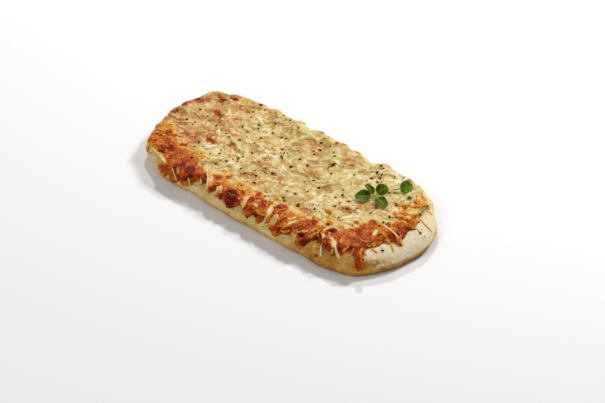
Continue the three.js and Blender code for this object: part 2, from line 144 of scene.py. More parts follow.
# Spots are ellipses, seen: x, y, half length, half width, turn in degrees, and how strong if not fully.
# The darkest parts of the ring, its golden parts, and gaps in it where the cheese stayed cream.
BROWN_SPOTS = [
    (-7, -52, 12, 6.5, -45, 0.82), (-11, -49, 7, 5.5, -35, 0.93), (-3, -57, 7, 4, -40, 0.86),
    (-14, -56, 6, 3, -45, 0.76), (-1, -61, 4, 3, 0, 0.95), (-5, -42, 3, 2, -45, 0.6),
    (-53, -48, 7, 4.5, -45, 0.9), (-52, -49.5, 2.4, 1.6, -45, 1.0), (-61, -47, 6, 4, -45, 0.76),
    (-47, -53, 5, 4, -45, 0.78), (-57, -57, 8, 4, -40, 0.74), (-62, -52, 7, 4, -40, 0.76),
    (-47, -58, 4, 4, -45, 0.86), (-44, -48, 5, 2.5, -45, 0.66), (-66, -43, 5, 3.5, -40, 0.56),
    (-83, -37, 7, 4.5, -40, 0.66), (-91, -33, 4, 3, -20, 0.62), (-84, -44, 5, 3, -40, 0.6),
    (-86, -45.5, 2.5, 1.5, -30, 0.75), (-74, -48, 6, 3.5, -45, 0.55), (-88, -40, 5, 4, -40, 0.58),
    (-70, -57, 5, 3, -40, 0.58), (-99, -24, 5, 4, -50, 0.5), (-98, -39, 1.8, 3, 0, 0.56),
    (-79, -28, 3.6, 3, 0, 0.6), (-72, -37, 4, 3, -30, 0.42), (-61, -34, 2, 2, 0, 0.4),
    (-87, -22, 3, 2, 0, 0.5), (-93, -24, 4, 3, 0, 0.42), (-101, -31, 2, 1.5, 0, 0.7),
    (-31, -41, 3.2, 4, 20, 0.62), (-27, -36, 3, 2.4, 0, 0.46), (-24, -48, 6, 5, -45, 0.5),
    (-26, -56, 5, 3, -45, 0.56), (4.5, -36, 3.2, 4, 20, 0.5), (5, -44, 3, 5, 25, 0.66),
    (15, -42, 5, 3.6, -40, 0.7), (12, -52, 6, 4, -45, 0.66), (20, -56, 4.5, 3, -40, 0.88),
    (23, -52, 4, 3, -45, 0.6), (27, -38, 5, 6, 10, 0.66), (27, -37, 2.4, 3, 0, 0.76),
    (37, -45, 4, 4, -45, 0.62), (39, -51, 4, 3, -45, 0.5), (54, -45, 6, 5, -40, 0.76),
    (61, -50, 5, 5, -40, 0.9), (68, -56, 5, 4.5, -45, 0.92), (64, -42, 5, 4, -45, 0.62),
    (57, -35, 6, 4, -40, 0.55), (50, -52, 5, 4, -40, 0.72), (45, -57, 5, 3, -45, 0.7),
    (73, -33, 3.4, 3, 0, 0.95), (65, -29, 2.6, 1.8, 0, 0.75), (76, -42, 5, 3.4, -45, 0.74),
    (86, -40, 3, 2.5, -45, 0.82), (82, -48, 6, 3.6, -45, 0.72), (92, -46, 5, 2.5, -45, 0.66),
    (98, -27, 5, 4, -45, 0.64), (97, -38, 6, 4, -40, 0.62), (106, -43, 8, 2.4, -42, 0.6),
    (114, -52, 8, 1.6, -42, 0.62), (95, -18, 5, 5, -45, 0.55), (86, -20, 5, 5, -30, 0.52),
    (87, -6, 4, 3.6, 0, 0.5), (102, 3, 5, 5, -60, 0.43), (107, -4, 5, 2, -40, 0.6),
    (98, 11, 4, 4, -50, 0.38), (90, 22, 5, 2.4, -10, 0.38), (94, 18, 3, 4, -40, 0.3),
    (92, 33, 5, 2.5, -30, 0.32), (99, 33, 5, 2.4, -20, 0.36), (96, 27, 3, 5, -30, 0.3),
    (84, 21, 4, 1.4, -10, 0.45), (34, -27, 3.5, 2, 0, 0.4), (78, -14, 3, 2.4, -30, 0.32),
    (97, -1, 4, 2, -40, 0.42), (91, 11, 4, 2.4, -30, 0.3), (64, -26, 4, 2, -10, 0.4),
    (91, 25, 3, 2, 0, 0.34), (55, -18, 4.5, 2, -15, 0.45), (6, -30, 3, 1.4, 0, 0.32),
    (12, 51.5, 13, 1.6, -5, 0.36), (46, 54.5, 7, 1.6, 0, 0.4), (70, 50.5, 5, 1.4, -10, 0.34),
    (0, 48.5, 1.6, 2.5, 0, 0.45), (-86, 42, 8, 2.5, 0, 0.2),
]
GOLD_SPOTS = [
    (-33, -33, 5, 2.4, 10), (-27, -32, 3, 2.4, 0), (-8.5, -37.5, 7, 4.5, -10), (-16, -36, 2.6, 2.6, 0),
    (-11, -43, 5, 1.6, -20), (44, -36, 6, 4, 30), (36, -38, 5, 2.4, 0), (41, -42, 4, 3, -30),
    (76, -26, 7, 2.2, -10), (88, -26, 5, 2, -10), (55, -28.5, 7, 1.5, 5), (-66, -32.5, 10, 5, -15),
    (-58, -30, 4, 3, 0), (-106, -20, 5, 7, -30), (-88, -26, 6, 3.4, -30), (-95, -36, 4, 5, -40),
    (-100, -36, 4, 6, -30), (-95, -41, 5, 2.5, -40), (12, -47, 3, 2, -40), (18, -31, 4, 3, 0),
    (108, 12, 6, 4, -40), (107, -22, 3, 4, -20), (103, 22, 6, 5, -30), (-100, -29, 3, 2, -40),
    (-36, -41, 3, 3, 0), (114, -9.5, 7, 2.2, -42), (-22, -43, 6, 2, -40), (-19, -56, 4, 3, -45),
    (44, -51, 3, 5, 10), (95, -34, 5, 1.6, 35), (30, -54, 3, 3, 0), (101, -10, 4, 2, -50),
]
CREAM_GAPS = [
    (-39, -36, 5, 4, -40), (-45, -38, 5, 3, -45), (-21, -36, 4, 4, -50), (12, -34, 3.5, 4, 10),
    (37, -33, 4, 2, 0), (68, -34, 1.6, 4, -10), (-44, -34, 5, 3, -40), (-1, -34, 2, 4, 20),
    (12.5, -46.5, 2, 1.6, 0), (-34, -46, 9, 2.2, -48), (3.5, -50, 9, 2.0, -60), (24, -45, 8, 2.2, -58),
    (34, -51, 8, 2.0, -60), (-29, -57, 5, 2.5, -50), (-87, -48, 8, 1.8, -12), (-80, -55, 7, 5, -45),
    (-87, -53, 5, 2.5, -55), (45.5, -45, 1.6, 6, 0), (21, -36, 2, 4, 20), (-84, -24, 5, 3.5, 0),
    (-76, -52, 6, 1.8, -30), (84, -43, 4, 2.4, -45), (96, -14, 1.8, 4, 30), (-72, -26, 5, 4, 0),
    (99, 24, 3, 6, -20), (105, 30, 5, 3, -40), (-36, -57, 4, 3, -45), (-52, -38, 2, 2.5, 0),
    (100, 17, 2, 3, 0), (-58, -55, 5, 1.4, -40), (58, -56, 5, 1.2, -35), (-20, -50, 6, 1.4, -50),
]
# Where the sauce stains the cheese, with one painted shadow among these; where it melted see-through and
# tan, with painted shadows of the leaves among those; and where it is pale, partly pale cheese and partly
# painted highlights.
SAUCE_AND_SHADOW_SPOTS = [
    (-113, 20, 6, 4, 0, 1.0), (-101, 31.5, 7, 4, -35, 1.05), (-95, 39, 5, 2.4, 0, 1.0),
    (-84, 33, 7, 4, -20, 0.6), (-76, 33, 3.5, 2.5, 0, 0.7), (-93, 17.5, 6, 3.4, -30, 1.05),
    (-87, 15, 5, 3, -40, 1.0), (-99, 14, 4, 3, 0, 0.6), (-80, 13, 3, 5, 0, 0.6),
    (-75, 20, 6, 4, -20, 0.6), (-86, 9, 4, 3, 30, 0.65), (-96, 6, 5, 4, -40, 0.5),
    (-110, 2, 5, 4, -30, 0.7), (-115, -1, 4, 6, 0, 1.0), (-118, 11, 4, 10, 0, 0.85),
    (-114, -11, 4, 6, -30, 0.6), (-110, 32, 3, 6, -35, 0.6), (-101, 39, 7, 2, 0, 0.8),
    (-103, -9, 5, 4, 0, 0.6), (-108, -3, 4, 4, 0, 0.6), (-78, -3, 9, 3, 0, 0.55),
    (-68, -11, 8, 3.5, -8, 1.0), (-54, -5.5, 6, 3, -30, 0.75), (-43, 5, 6, 2.4, 10, 0.55),
    (-58, 15, 2, 1.5, -30, 0.75), (-46, -16, 4, 1.6, -20, 0.5), (-15, -24, 7, 4, 0, 0.66),
    (-21, -27, 4, 3, 0, 0.5), (-6, -24, 3.4, 3.4, 0, 0.75), (-8, -29, 4, 2.5, 0, 0.7),
    (-12, -14, 3.6, 2, -20, 0.6), (-6, -11.5, 3.6, 2.2, 0, 0.95), (3, -12, 4, 4, -20, 0.5),
    (-22, -1, 5, 3, -30, 0.4), (-13, 6, 7, 1.8, -30, 0.5), (-4, 6, 4, 2.4, -40, 0.5),
    (25, 0, 1.6, 4, 30, 0.4), (26, 35, 5, 3, -35, 0.75), (20, 29, 3, 2, 0, 0.4), (10, 46, 6, 5, 0, 0.3),
    (13, 41, 4, 3, 0, 0.35), (-10, 36, 6, 3, 20, 0.45), (-2, 33, 4, 2, 0, 0.45),
    (-58, 41, 6, 3, 0, 0.4), (66, -19, 5, 3, 0, 0.5), (61, -7, 4, 3.4, 0, 0.75),
    (40, -28, 7, 3.4, 0, 0.6), (-88, -17, 4, 3, 0, 0.7), (-81, -17, 4, 3, 0, 0.65),
    (-109, 25, 5, 4, 0, 0.6), (-98, 24, 5, 3, 0, 0.4), (-92, 24, 4, 3, 0, 0.4),
    (-106, 35, 4, 2, -40, 0.7), (-84, 41, 8, 2, 0, 0.5), (-103, 8, 4, 3, 0, 0.4),
    (-71, 6, 8, 3, -10, 0.45), (-62, 5, 4, 3, 0, 0.4), (-92, -9, 7, 3, -10, 0.4),
    (-66, 24, 4, 6, 20, 0.35), (-104, -15, 5, 3, 0, 0.5), (81, 11, 4, 1.6, -20, 0.5),
    (84, 20, 5, 1.6, -10, 0.4), (71, 30, 2, 3, 0, 0.4), (56, -11, 4, 1.6, 0, 0.5),
    # (67, 4.5) is a painted shadow under the sprig's leaves.
    (67, 4.5, 6, 2.4, 10, 0.4), (8, 51, 9, 2.4, 0, 0.3), (-52, -9, 3, 2, 0, 0.4),
    (-37, 3, 4, 1.6, 0, 0.4),
]
TAN_HOLLOWS_AND_LEAF_SHADOWS = [
    (-48, 36, 9, 6, 0, 1.0), (-58, 45, 10, 4, 0, 0.6), (12, 6, 9, 5, 10, 0.9), (21, 7, 5, 4, 0, 0.7),
    (-33, 12, 9, 4, -15, 0.8), (-58, 28, 5, 4, 30, 0.6), (5, 20, 6, 5, 0, 0.5), (33, 2, 6, 4, 0, 0.6),
    (-4, 30, 10, 6, 0, 0.5), (20, 26, 7, 6, 0, 0.8), (-20, 26, 10, 5, 0, 0.5), (45, 20, 7, 4, 0, 0.4),
    # (66, 3) and (72, 8) are painted shadows cast by the sprig's leaves.
    (-37, 2, 6, 6, 0, 0.6), (66, 3, 10, 4, 10, 0.95), (72, 8, 6, 3, 30, 0.9), (-94, 26, 10, 6, 0, 0.5),
    (-86, -10, 12, 5, 0, 0.5), (27, -9, 5, 6, 0, 0.4), (-98, -16, 6, 5, 0, 0.5), (62, -8, 7, 5, 0, 0.8),
    (26, 36, 9, 5, -20, 0.7), (-10, 38, 8, 5, 0, 0.9), (47, 38, 8, 6, 0, 0.4), (-30, 38, 6, 4, 0, 0.5),
    (0, 1, 8, 4, -40, 0.5), (-45, -9, 7, 4, 0, 0.4), (-35, -28, 9, 3, 0, 0.5), (-50, -30, 8, 3, 0, 0.5),
    (19, -28, 5, 3, 0, 0.9), (7, -28, 4, 2.4, 0, 0.8), (57, -24, 8, 3, 0, 0.5), (44, -28, 5, 3, 0, 0.7),
    # (80, 34) is a painted shadow under the loose leaf.
    (-25, -10, 8, 5, 0, 0.5), (-64, 10, 6, 5, 0, 0.5), (80, 34, 5, 3, -30, 0.9),
    (-78, 45, 8, 3, 0, 0.6), (50, 3, 5, 5, 0, 0.4), (38, 10, 7, 3, -30, 0.4), (-16, -8, 6, 4, 0, 0.5),
    (86, 10, 5, 6, 0, 0.4),
]
# Partly pale cheese and partly painted highlights: small sparkles and the broad sheen at (34, -14).
PALE_AND_HIGHLIGHT_SPOTS = [
    (-60, -18, 9, 3.4, -8, 0.9), (-82, 1, 13, 3, -5, 1), (-92, 3, 5, 2, -30, 0.7),
    (34, -14, 12, 8, 0, 0.45), (60, 48, 12, 5, -15, 0.5), (-18, -4, 3, 2, -45, 0.9),
    (-35, 19, 2, 2, -45, 0.9), (72, -12, 7, 4, 0, 0.6), (37, -4, 6, 4, 0, 0.6),
    (-105, 18, 3, 8, -30, 0.9), (27, 25, 3, 2, -45, 0.6), (-65, 36, 3, 3, -45, 0.8),
    (-38, -20, 9, 5, 0, 0.4), (85, -1, 5, 4, 0, 0.4), (34, 44, 8, 5, 0, 0.4), (-96, -15, 3, 3, 0, 0.6),
    (12, -31, 3, 3, 0, 0.9), (14, 32, 2, 3, 30, 0.5), (68, 38, 4, 3, 0, 0.5), (88, 26, 3, 4, 0, 0.4),
    (22, 13, 2, 3, 30, 0.5), (-85, 24, 3, 1.4, -35, 0.8), (-84, 20, 3, 1.4, -35, 0.8),
    (-100, -1, 3, 1.4, -45, 0.7), (-22, 30, 6, 4, 0, 0.4), (-25, 5, 7, 3, 0, 0.4),
    (-84, -23, 4, 3, 0, 0.6), (-60, 6, 3, 1.4, -40, 0.5),
]
# Left of this the cheese is redder, and how soon.
REDDER_FROM, REDDER_OVER = -52, 30

# The shreds melted into the sheet: how many, their heights, half widths, lengths and bends, what share of
# the height under it lifts each, and how often the heights are softened. They are drawn in steps on a plan
# of cells.
MELTED_SHREDS = 520
MELTED_HEIGHTS = (0.5, 1.1)
MELTED_WIDTHS = (1.1, 1.8)
MELTED_LENGTHS = (8, 22)
MELTED_BEND = 0.09
MELTED_OVER = 0.35
MELTED_SOFT = 6
MELTED_STEP = 0.6
CELL = 0.4
PLAN_HALF = (132.0, 66.0)

# Separate shreds of cheese, seen: how browned, how wide in millimetres, the points that each passes over.
SHREDS = [
    (0.02, 1.6, [(-93, -47), (-90, -51), (-86, -56)]),
    (0.04, 1.4, [(-93, -47), (-88.5, -48), (-80, -51), (-71.5, -53.5)]),
    (0.16, 0.9, [(-88, -49.5), (-83, -51), (-77, -54), (-72, -57)]),
    (0.12, 1.5, [(-63.5, -55), (-55.5, -60.5), (-50, -64)]),
    (0.1, 1.2, [(-47, -55.5), (-42, -59.5), (-38.5, -62), (-38, -64)]),
    (0.1, 1.1, [(-38, -60), (-35, -59.5), (-34, -57), (-36, -53.5), (-40, -50.5)]),
    (0.08, 1.5, [(-41.5, -41.5), (-34, -49), (-26, -58)]),
    (0.06, 1.2, [(-36.5, -46), (-38.5, -39), (-38, -34), (-34, -30)]),
    (0.06, 1.7, [(-24, -49), (-21, -52), (-18, -60)]),
    (0.0, 1.3, [(-49, -35), (-45, -39), (-41, -42)]),
    (0.1, 1.8, [(1, -41.5), (3.5, -49.5), (8.5, -57)]),
    (0.0, 2.0, [(8, -31), (10, -31.5), (12, -32)]),
    (0.05, 1.8, [(20.5, -39), (25, -47), (31, -58), (35, -65)]),
    (0.14, 1.3, [(31, -44.5), (32, -51), (35.5, -58), (38, -61.5)]),
    (0.1, 1.5, [(27, -51), (30, -57), (32, -62)]),
    (0.22, 1.4, [(45.5, -55.5), (46, -48.5), (47.5, -41.5), (50.5, -35.5)]),
    (0.12, 1.0, [(54, -53), (59, -57), (63.5, -61.5)]),
    (0.0, 1.8, [(78.5, -49.5), (83, -55), (88, -60.5)]),
    (0.0, 2.0, [(76.5, -40.5), (80.5, -40.5), (87, -45.5), (94, -50.5), (99, -53.5)]),
    (0.06, 1.6, [(69.5, -40), (72, -41.5), (74.5, -44)]),
    (0.12, 1.2, [(52, -29.5), (55.5, -28.5), (61.5, -29.5), (64.5, -31)]),
    (0.27, 1.2, [(102.5, -36.5), (109, -42.5), (114, -47.5), (118.5, -51.5)]),
    (0.02, 2.2, [(94.5, -11), (96, -14.5), (97.5, -17.5)]),
    (0.06, 1.3, [(93.5, -3), (98.5, -4.5), (103.5, -5), (108.5, -6.5), (113, -8)]),
    (0.2, 1.9, [(110.5, -4.5), (115, -9), (120.5, -13)]),
    (0.19, 1.6, [(108.5, -16), (112, -16.5), (117.5, -20), (121.5, -23)]),
    (0.2, 1.5, [(107, -20), (107.5, -16), (110, -15)]),
    (0.19, 1.8, [(108, 19), (114, 16.5), (119, 15), (124, 13)]),
    (0.36, 0.9, [(115, 8.5), (118, 7), (121, 6)]),
    (0.18, 1.4, [(104.5, 29.5), (108, 29), (111, 28.5)]),
    (0.2, 1.7, [(108.5, 12), (111.5, 10), (115, 8)]),
    (0.0, 1.6, [(-4, -3), (-3, -8), (-1, -13)]),
]
# Fine strands over the browned rim: how many, where round the oval, how far in, how long and wide, and how
# browned they are. There are none where the rim is browned more than the limit.
RIM_STRANDS = 42
STRAND_PLACES = (478, 598)
STRAND_INSETS = (3, 23)
STRAND_LENGTHS = (5, 12)
STRAND_WIDTHS = (1.1, 1.9)
STRAND_TONES = (0.1, 0.22)
STRAND_LIMIT = 0.66
# In metres: how far a shred's middle is off what it lies on, and how thick it is.
SHRED_LIFT, SHRED_THICK = 0.00005, 0.0009

# Dried herb flakes and cracked pepper, seen: x, y and how long in millimetres.
HERBS = [
    (-75, 46.5, 2.6), (-68, 43.5, 1.4), (-63, 44, 1.5), (-55.5, 43, 1.6), (-53, 48, 1.4),
    (-45, 46.5, 1.7), (-73, 36.5, 2.1), (-50.5, 36.5, 1.6), (-69, 30, 1.6), (-57.5, 26.5, 2),
    (-54.5, 23, 1.5), (-56, 20, 1.3), (-65, 17.5, 2), (-45, 16, 1.9), (-43, 7.5, 2), (-54, 3.5, 2.5),
    (-62.5, 1, 2.3), (-79.5, 5, 2), (-94, 31.5, 1.3), (-114, 21, 2.3), (-103, 12, 2.3), (-93, 9.5, 1.5),
    (-115, 0.5, 1.6), (-101, -4, 2.4), (-94, -2, 1.5), (-93, -6, 1.9), (-97, -9, 1.4), (-106, -9, 1.5),
    (-105, -16.5, 1.7), (-103, -32, 1.7), (-73, -19, 2.3), (-72, -25, 2), (-75, -9, 1.6),
    (-67, -20.5, 1.4), (-55, -15, 1.5), (-52, -19, 2.3), (-42, -22, 2.4), (-57, -23.5, 1.5),
    (-45, -30, 2), (-62, -28, 1.6), (-63, -36, 2.3), (-75, -39, 1.6), (-51, -37, 1.6), (-88.5, 6, 1.2),
    (-76, 2, 1.3), (-72, 3, 1.6), (-67, 2.5, 1.5), (-48, -7.5, 1.4), (-95, 39, 2), (-34, 43.5, 2),
    (-17, 51, 1.5), (-7, 51, 1.6), (-8.5, 41, 2.5), (-0.5, 42, 1.6), (6.5, 38, 1.6), (10.5, 35, 2.1),
    (-2.5, 33.5, 2.6), (-5, 29.5, 1.9), (-2, 26.5, 2), (-34, 26, 2.6), (-31, 27.5, 1.6), (-43, 26, 1.8),
    (-23, 15.5, 2), (-19, 13.5, 1.7), (-17, 14.5, 1.6), (-5, 15, 2.3), (4.5, 13.5, 2.8), (-17, 8.5, 2),
    (-3, 4, 3), (-35, -2.5, 1.6), (-24, -7.5, 1.4), (-9.5, -4.5, 1.2), (-15, -10, 1.4), (-37, -10.5, 2),
    (-38, -14, 2.4), (-40, -17.5, 1.5), (-36, -17.5, 1.9), (-27.5, -22, 1.8), (-18.5, -17, 1.5),
    (-21.5, -24, 1.6), (-13, -21, 2.6), (-7, -11, 2.2), (-2, -14.5, 1.6), (5, -15.5, 1.5),
    (-8, -28.5, 2.5), (-13, -30.5, 1.5), (20.5, 2.5, 1.9), (17, -3, 1.6), (30, -1.5, 2.1),
    (27, -10, 1.6), (22.5, -18, 2.3), (16, -19, 1.4), (20, -27.5, 2.2), (23, -29.5, 2), (34, -27, 3.6),
    (24, 17, 2.1), (17.5, 26, 3.8), (17.5, 28.5, 1.6), (17, 22, 1.6), (18, 20, 1.3), (37, 27.5, 1.6),
    (9, -35, 1.6), (16, -37, 1.6), (7, -44.5, 1.7), (-39, -46, 2.8), (28, -45.5, 1.6),
    (-12, -13.5, 1.4), (43, 49, 2.1), (46.5, 47.5, 1.8), (59.5, 45.5, 2.3), (65, 49, 2),
    (65.5, 47, 1.5), (69.5, 48, 1.4), (47, 40.5, 3.2), (51, 41, 1.7), (53, 36.5, 2.6), (49, 32.5, 2.5),
    (55, 32, 2.5), (57, 34, 1.5), (48.5, 28, 1.4), (85, 33, 2.6), (92, 31.5, 2), (89.5, 29.5, 1.5),
    (87, 38, 1.5), (100.5, 34, 1.9), (70, 28, 2.3), (84.5, 19.5, 1.6), (91, 21.5, 1.4),
    (104.5, 18, 1.5), (110, 15.5, 1.5), (44, 8, 2), (48, 3.5, 2.3), (46.5, -2, 1.6), (57, 0.2, 3),
    (66.5, -1.5, 2.3), (77.5, 0.5, 2), (53, -4.5, 1.5), (53.5, -10.5, 2.3), (61, -6.5, 1.8),
    (67, -8.5, 1.5), (41.5, -19, 1.9), (45.5, -22.5, 1.8), (41, -25.5, 1.3), (65, -18.5, 1.7),
    (91.5, -1, 1.7), (95, -1.5, 1.6), (90.5, 6.5, 2), (94.5, 9, 1.7), (76, 7.5, 1.5), (107, 8, 1.8),
    (104, 1, 2), (119, 7, 1.7), (124, 6, 1.4), (104, 23.5, 1.6), (108, -8, 1.6), (111.5, -14.5, 1.6),
    (114, -26.5, 2.6), (87, -30.5, 2.5), (52.5, -31, 1.6), (68.5, -41.5, 1.8), (51.5, -48.5, 2.1),
    (111.5, -43, 1.4), (100, -15, 1.8), (65, -29, 2.1), (78.5, -18.5, 1.4),
]
# The finer flakes between them: how many, how far from the listed ones, how long. Each flake is made
# HERB_LONGER times as long as listed and at most HERB_THICKEST metres thick.
MORE_HERBS = 320
HERB_STREWN = 9
FINE_HERBS = (0.5, 1.15)
HERB_LONGER = 1.25
HERB_THICKEST = 0.0005

# The fresh leaves, in millimetres: root, tip, the way the blade faces, how wide and how arched.
SPRIG_HEART = (67, 16.3, 16.2)
SPRIG_LEAVES = [
    ((65.8, 13.8, 15.6), (57, 6.8, 15.2), (0.2, -0.15, 1), 9.6, 1.0),
    ((65.6, 16.4, 16.8), (57.6, 17.3, 20.8), (0.45, -0.1, 0.85), 5.4, 0.6),
    ((67.8, 18, 17.4), (70.2, 25.9, 20.6), (0.35, -0.6, 0.75), 9.0, 0.5),
    ((69.6, 15.3, 15.8), (81.9, 12, 15.4), (0.15, -0.15, 1), 7.8, 1.2),
]
SPRIG_STALK = [(67, 16.3, 16.6), (66, 19.5, 15.6), (65, 23, 15.3)]
LOOSE_ROOT = (74.4, 34.6, 16.2)
LOOSE_LEAF = (LOOSE_ROOT, (80.6, 41.4, 17.4), (0.36, -0.36, 0.86), 9.4, 0.8)
LOOSE_STALK = [(75.1, 35.6, 16.4), (73, 33.2, 16), (70.6, 31, 15.1)]
STALK_RADIUS, BUD_RADIUS, NECK_RADIUS = 0.6, 0.9, 0.45
STALK_STEPS = 9
LEAF_THICK = 0.4
# A blade's cup as a share of its width, its waved rim, its rib and its veins in millimetres, and how many
# veins there are and how they slant.
LEAF_CUP, LEAF_WAVE, LEAF_RIB, LEAF_VEIN = 0.14, 0.35, 0.28, 0.05
VEINS, VEIN_SLANT = 6.5, 1.7

# How finely each sheet is divided: round the oval and from its underside to the middle, or along and across.
CRUST_GRID = (640, 74)
SAUCE_GRID = (420, 26)
CHEESE_GRID = (900, 100)
LEAF_GRID = (30, 18)
# The share of the cheese's sheet that turns under at its edge, and how much closer its lines lie there.
TUCKED, CLOSER = 0.06, 1.18
# Each noise and each set of random draws adds a number to this.
SEED = 41

# How the bare dough toasted: round the oval, how wide, how much at every height and how much more low down,
# and the height under which that starts and the one over which it grows.
TOASTED_PLACES = [(568, 36, 0.3, 0, 6, 1), (10, 30, 0, 0.3, 6, 2.4), (480, 70, 0.06, 0.12, 4, 2)]
# Where flour lies on it: round the oval, how wide, how thick, over which height it starts and then grows.
FLOURED_PLACES = [(6, 34, 1, 5.2, 2.2), (598, 16, 0.85, 9.5, 1.5)]
# Browned marks on it, as spots.
CRUST_MARKS = [
    (112, -33.5, 1.4, 1, -20, 0.4), (117, -28, 2.6, 1.4, -40, 0.4), (85, -62, 1.8, 1, -40, 0.6),
    (74, -50, 5, 2.4, -60, 0.2), (80, -55, 4, 3, -40, 0.25), (120, -40, 8, 4, -20, 0.18),
    (115, -46, 6, 5, -40, 0.18), (70, -62, 4, 2.5, -40, 0.3), (95, -52, 8, 5, -30, 0.12),
]

# How browned cheese looks, from pale to dark, and the tones of its cream parts and of the leaves.
BROWNING = [
    (0.0, "E8D092"), (0.14, "E0AC48"), (0.27, "D07A10"), (0.39, "C05A06"), (0.52, "A63602"),
    (0.66, "8C1E01"), (0.82, "6A0E01"), (1.0, "480700"),
]
MELTED_TONES = ["C39E52", "D6BF79", "EBDDAA"]
SHREDDED_TONES = ["E0C484", "EAD7A0", "F4E8C4"]
FRESH_TONES = ["304602", "466203", "668609"]
LOOSE_TONES = ["4F6410", "6B8420", "93A83A"]

# The lamps, in metres and watts: where, how wide, how strong. The pale room lights from all round.
LAMPS = [
    ("key", (0.2, 1.05, 0.9), 0.3, 12), ("fill", (-0.2, -1.4, 1.2), 0.9, 9),
    ("sparkle", (-0.75, 0.85, 0.85), 0.07, 7.5),
]
ROOM_LIGHT = 0.26
FLOOR_GREY = 0.93


# Shapes of the bread, worked out for many places at once

def smooth(value):
    """0 below 0, 1 above 1, and a soft step between."""
    held = np.clip(value, 0, 1)
    return held * held * (3 - 2 * held)


def apart(a, b):
    """The shorter way round the oval from one place to another."""
    gap = np.abs(a - b) % ROUND
    return np.minimum(gap, ROUND - gap)


def swell(along, at, wide, power=2):
    """1 at a place on the oval, fading either side of it, the more abruptly the greater the power."""
    return np.exp(-((apart(along, at) / wide) ** power))


def waves(along, rows):
    """Waves that close on themselves round the oval, added up."""
    return sum(high * np.sin(2 * math.pi * count * along / ROUND + start) for high, count, start in rows)


def cloud(x, y, size, seed):
    """Smooth seeded noise from -1 to 1 whose patches are about that size."""
    cells = 96
    lattice = np.random.default_rng(SEED + seed).uniform(-1, 1, (cells, cells))
    across, up = x / size, y / size
    column, row = np.floor(across).astype(int), np.floor(up).astype(int)
    right, above = smooth(across - column), smooth(up - row)

    def level(line):
        """The noise on one line of the lattice."""
        here, beside = lattice[column % cells, line % cells], lattice[(column + 1) % cells, line % cells]
        return here * (1 - right) + beside * right

    return level(row) * (1 - above) + level(row + 1) * above


def clouds(x, y, size, seed, layers=3):
    """Noise with finer noise on it."""
    total = sum(cloud(x, y, size / 2 ** n, seed + 7 * n) * 0.5 ** n for n in range(layers))
    return total / (2 - 0.5 ** (layers - 1))


def fray(along, size, seed):
    """Noise that changes only round the oval."""
    return cloud(along, 0 * along, size, seed)


def strayed(x, y, far, size, seed):
    """The places, each moved a little, so that what is drawn on them looks torn."""
    return x + far * clouds(x, y, size, seed), y + far * clouds(x, y, size, seed + 1)


def spoke(along):
    """Where the spoke at a place on the oval leaves the middle line, and the way it points."""
    back = (along >= QUARTER) & (along < QUARTER + STRAIGHT)
    left = (along >= QUARTER + STRAIGHT) & (along < ROUND - QUARTER - STRAIGHT)
    front = (along >= ROUND - QUARTER - STRAIGHT) & (along < ROUND - QUARTER)
    right = np.where(along < QUARTER, along, along - ROUND)
    still = np.ones_like(along)
    start = np.select(
        [back, left, front],
        [HALF_STRAIGHT + QUARTER - along, -HALF_STRAIGHT * still, along - ROUND + QUARTER + HALF_STRAIGHT],
        HALF_STRAIGHT * still,
    )
    turn = np.select(
        [back, left, front],
        [math.pi / 2 * still, (along - STRAIGHT) / END_RADIUS, -math.pi / 2 * still],
        right / END_RADIUS,
    )
    return start, turn


def half_width(along):
    """How far the bread reaches from its middle line."""
    swells = sum(out * swell(along, at, wide) for at, wide, out in EDGE_SWELLS)
    return END_RADIUS + waves(along, EDGE_WAVES) + swells


def rim_top(along):
    """How high the rim stands."""
    lower = COVERED_LOWER * swell(along, COVERED_AT, COVERED_WIDE, 4)
    taller = PUFF_TALLER * swell(along, PUFF_AT, PUFF_WIDE, 4)
    return RIM_TOP + waves(along, RIM_WAVES) - lower + taller


def rim_round(along):
    """How far in the rim is rounded."""
    return RIM_ROUND + PUFF_ROUNDER * swell(along, PUFF_AT, PUFF_WIDE, 4)


def quarter_arc(a, b):
    """How long a quarter of an ellipse is."""
    return math.pi / 2 * np.sqrt((a * a + b * b) / 2)


def rim_reach(along):
    """How far it is over the skin from the widest line to the rim's top."""
    return quarter_arc(rim_round(along), rim_top(along) - BULGE)


def spine_reach(along):
    """How far it is over the skin from the widest line to the middle line."""
    return rim_reach(along) + half_width(along) - rim_round(along)


def skin(along, reach, lift=0.0):
    """The point that far over the bread's skin from its widest line, and that far off it.

    Where the reach is below 0 the point is on the foot or the underside.
    """
    start, turn = spoke(along)
    rounded, top, rim = rim_round(along), rim_top(along), rim_reach(along)
    foot = quarter_arc(FOOT, BULGE)
    low = math.pi / 2 * np.clip(reach / foot, -1, 0)
    high = math.pi / 2 * np.clip(reach / rim, 0, 1)
    parts = [reach < -foot, reach < 0, reach < rim]
    level = 0 * reach
    inset = np.select(
        parts,
        [FOOT - foot - reach, FOOT * (1 - np.cos(low)), rounded * (1 - np.cos(high))],
        rounded + reach - rim,
    )
    height = np.select(
        parts,
        [level, BULGE * (1 + np.sin(low)), BULGE + (top - BULGE) * np.sin(high)],
        top - (top - BED) * np.clip((reach - rim) / BED_SLOPE, 0, 1),
    )
    lean = np.select(parts, [level, BULGE * np.cos(low), (top - BULGE) * np.cos(high)], level)
    rise = np.select(parts, [level - 1, FOOT * np.sin(low), rounded * np.sin(high)], level + 1)
    slant = np.hypot(lean, rise)
    out = half_width(along) - inset + lift * lean / slant
    return np.stack([start + out * np.cos(turn), out * np.sin(turn), height + lift * rise / slant], 1)


def plain_edge(along):
    """How far over the skin the bread stays bare."""
    more = PLAIN_END_MORE * swell(along, PLAIN_END_AT, PLAIN_END_WIDE, 6)
    less = COVERED_LESS * swell(along, COVERED_AT, COVERED_WIDE, 4)
    return PLAIN + more - less + waves(along, PLAIN_WAVES)


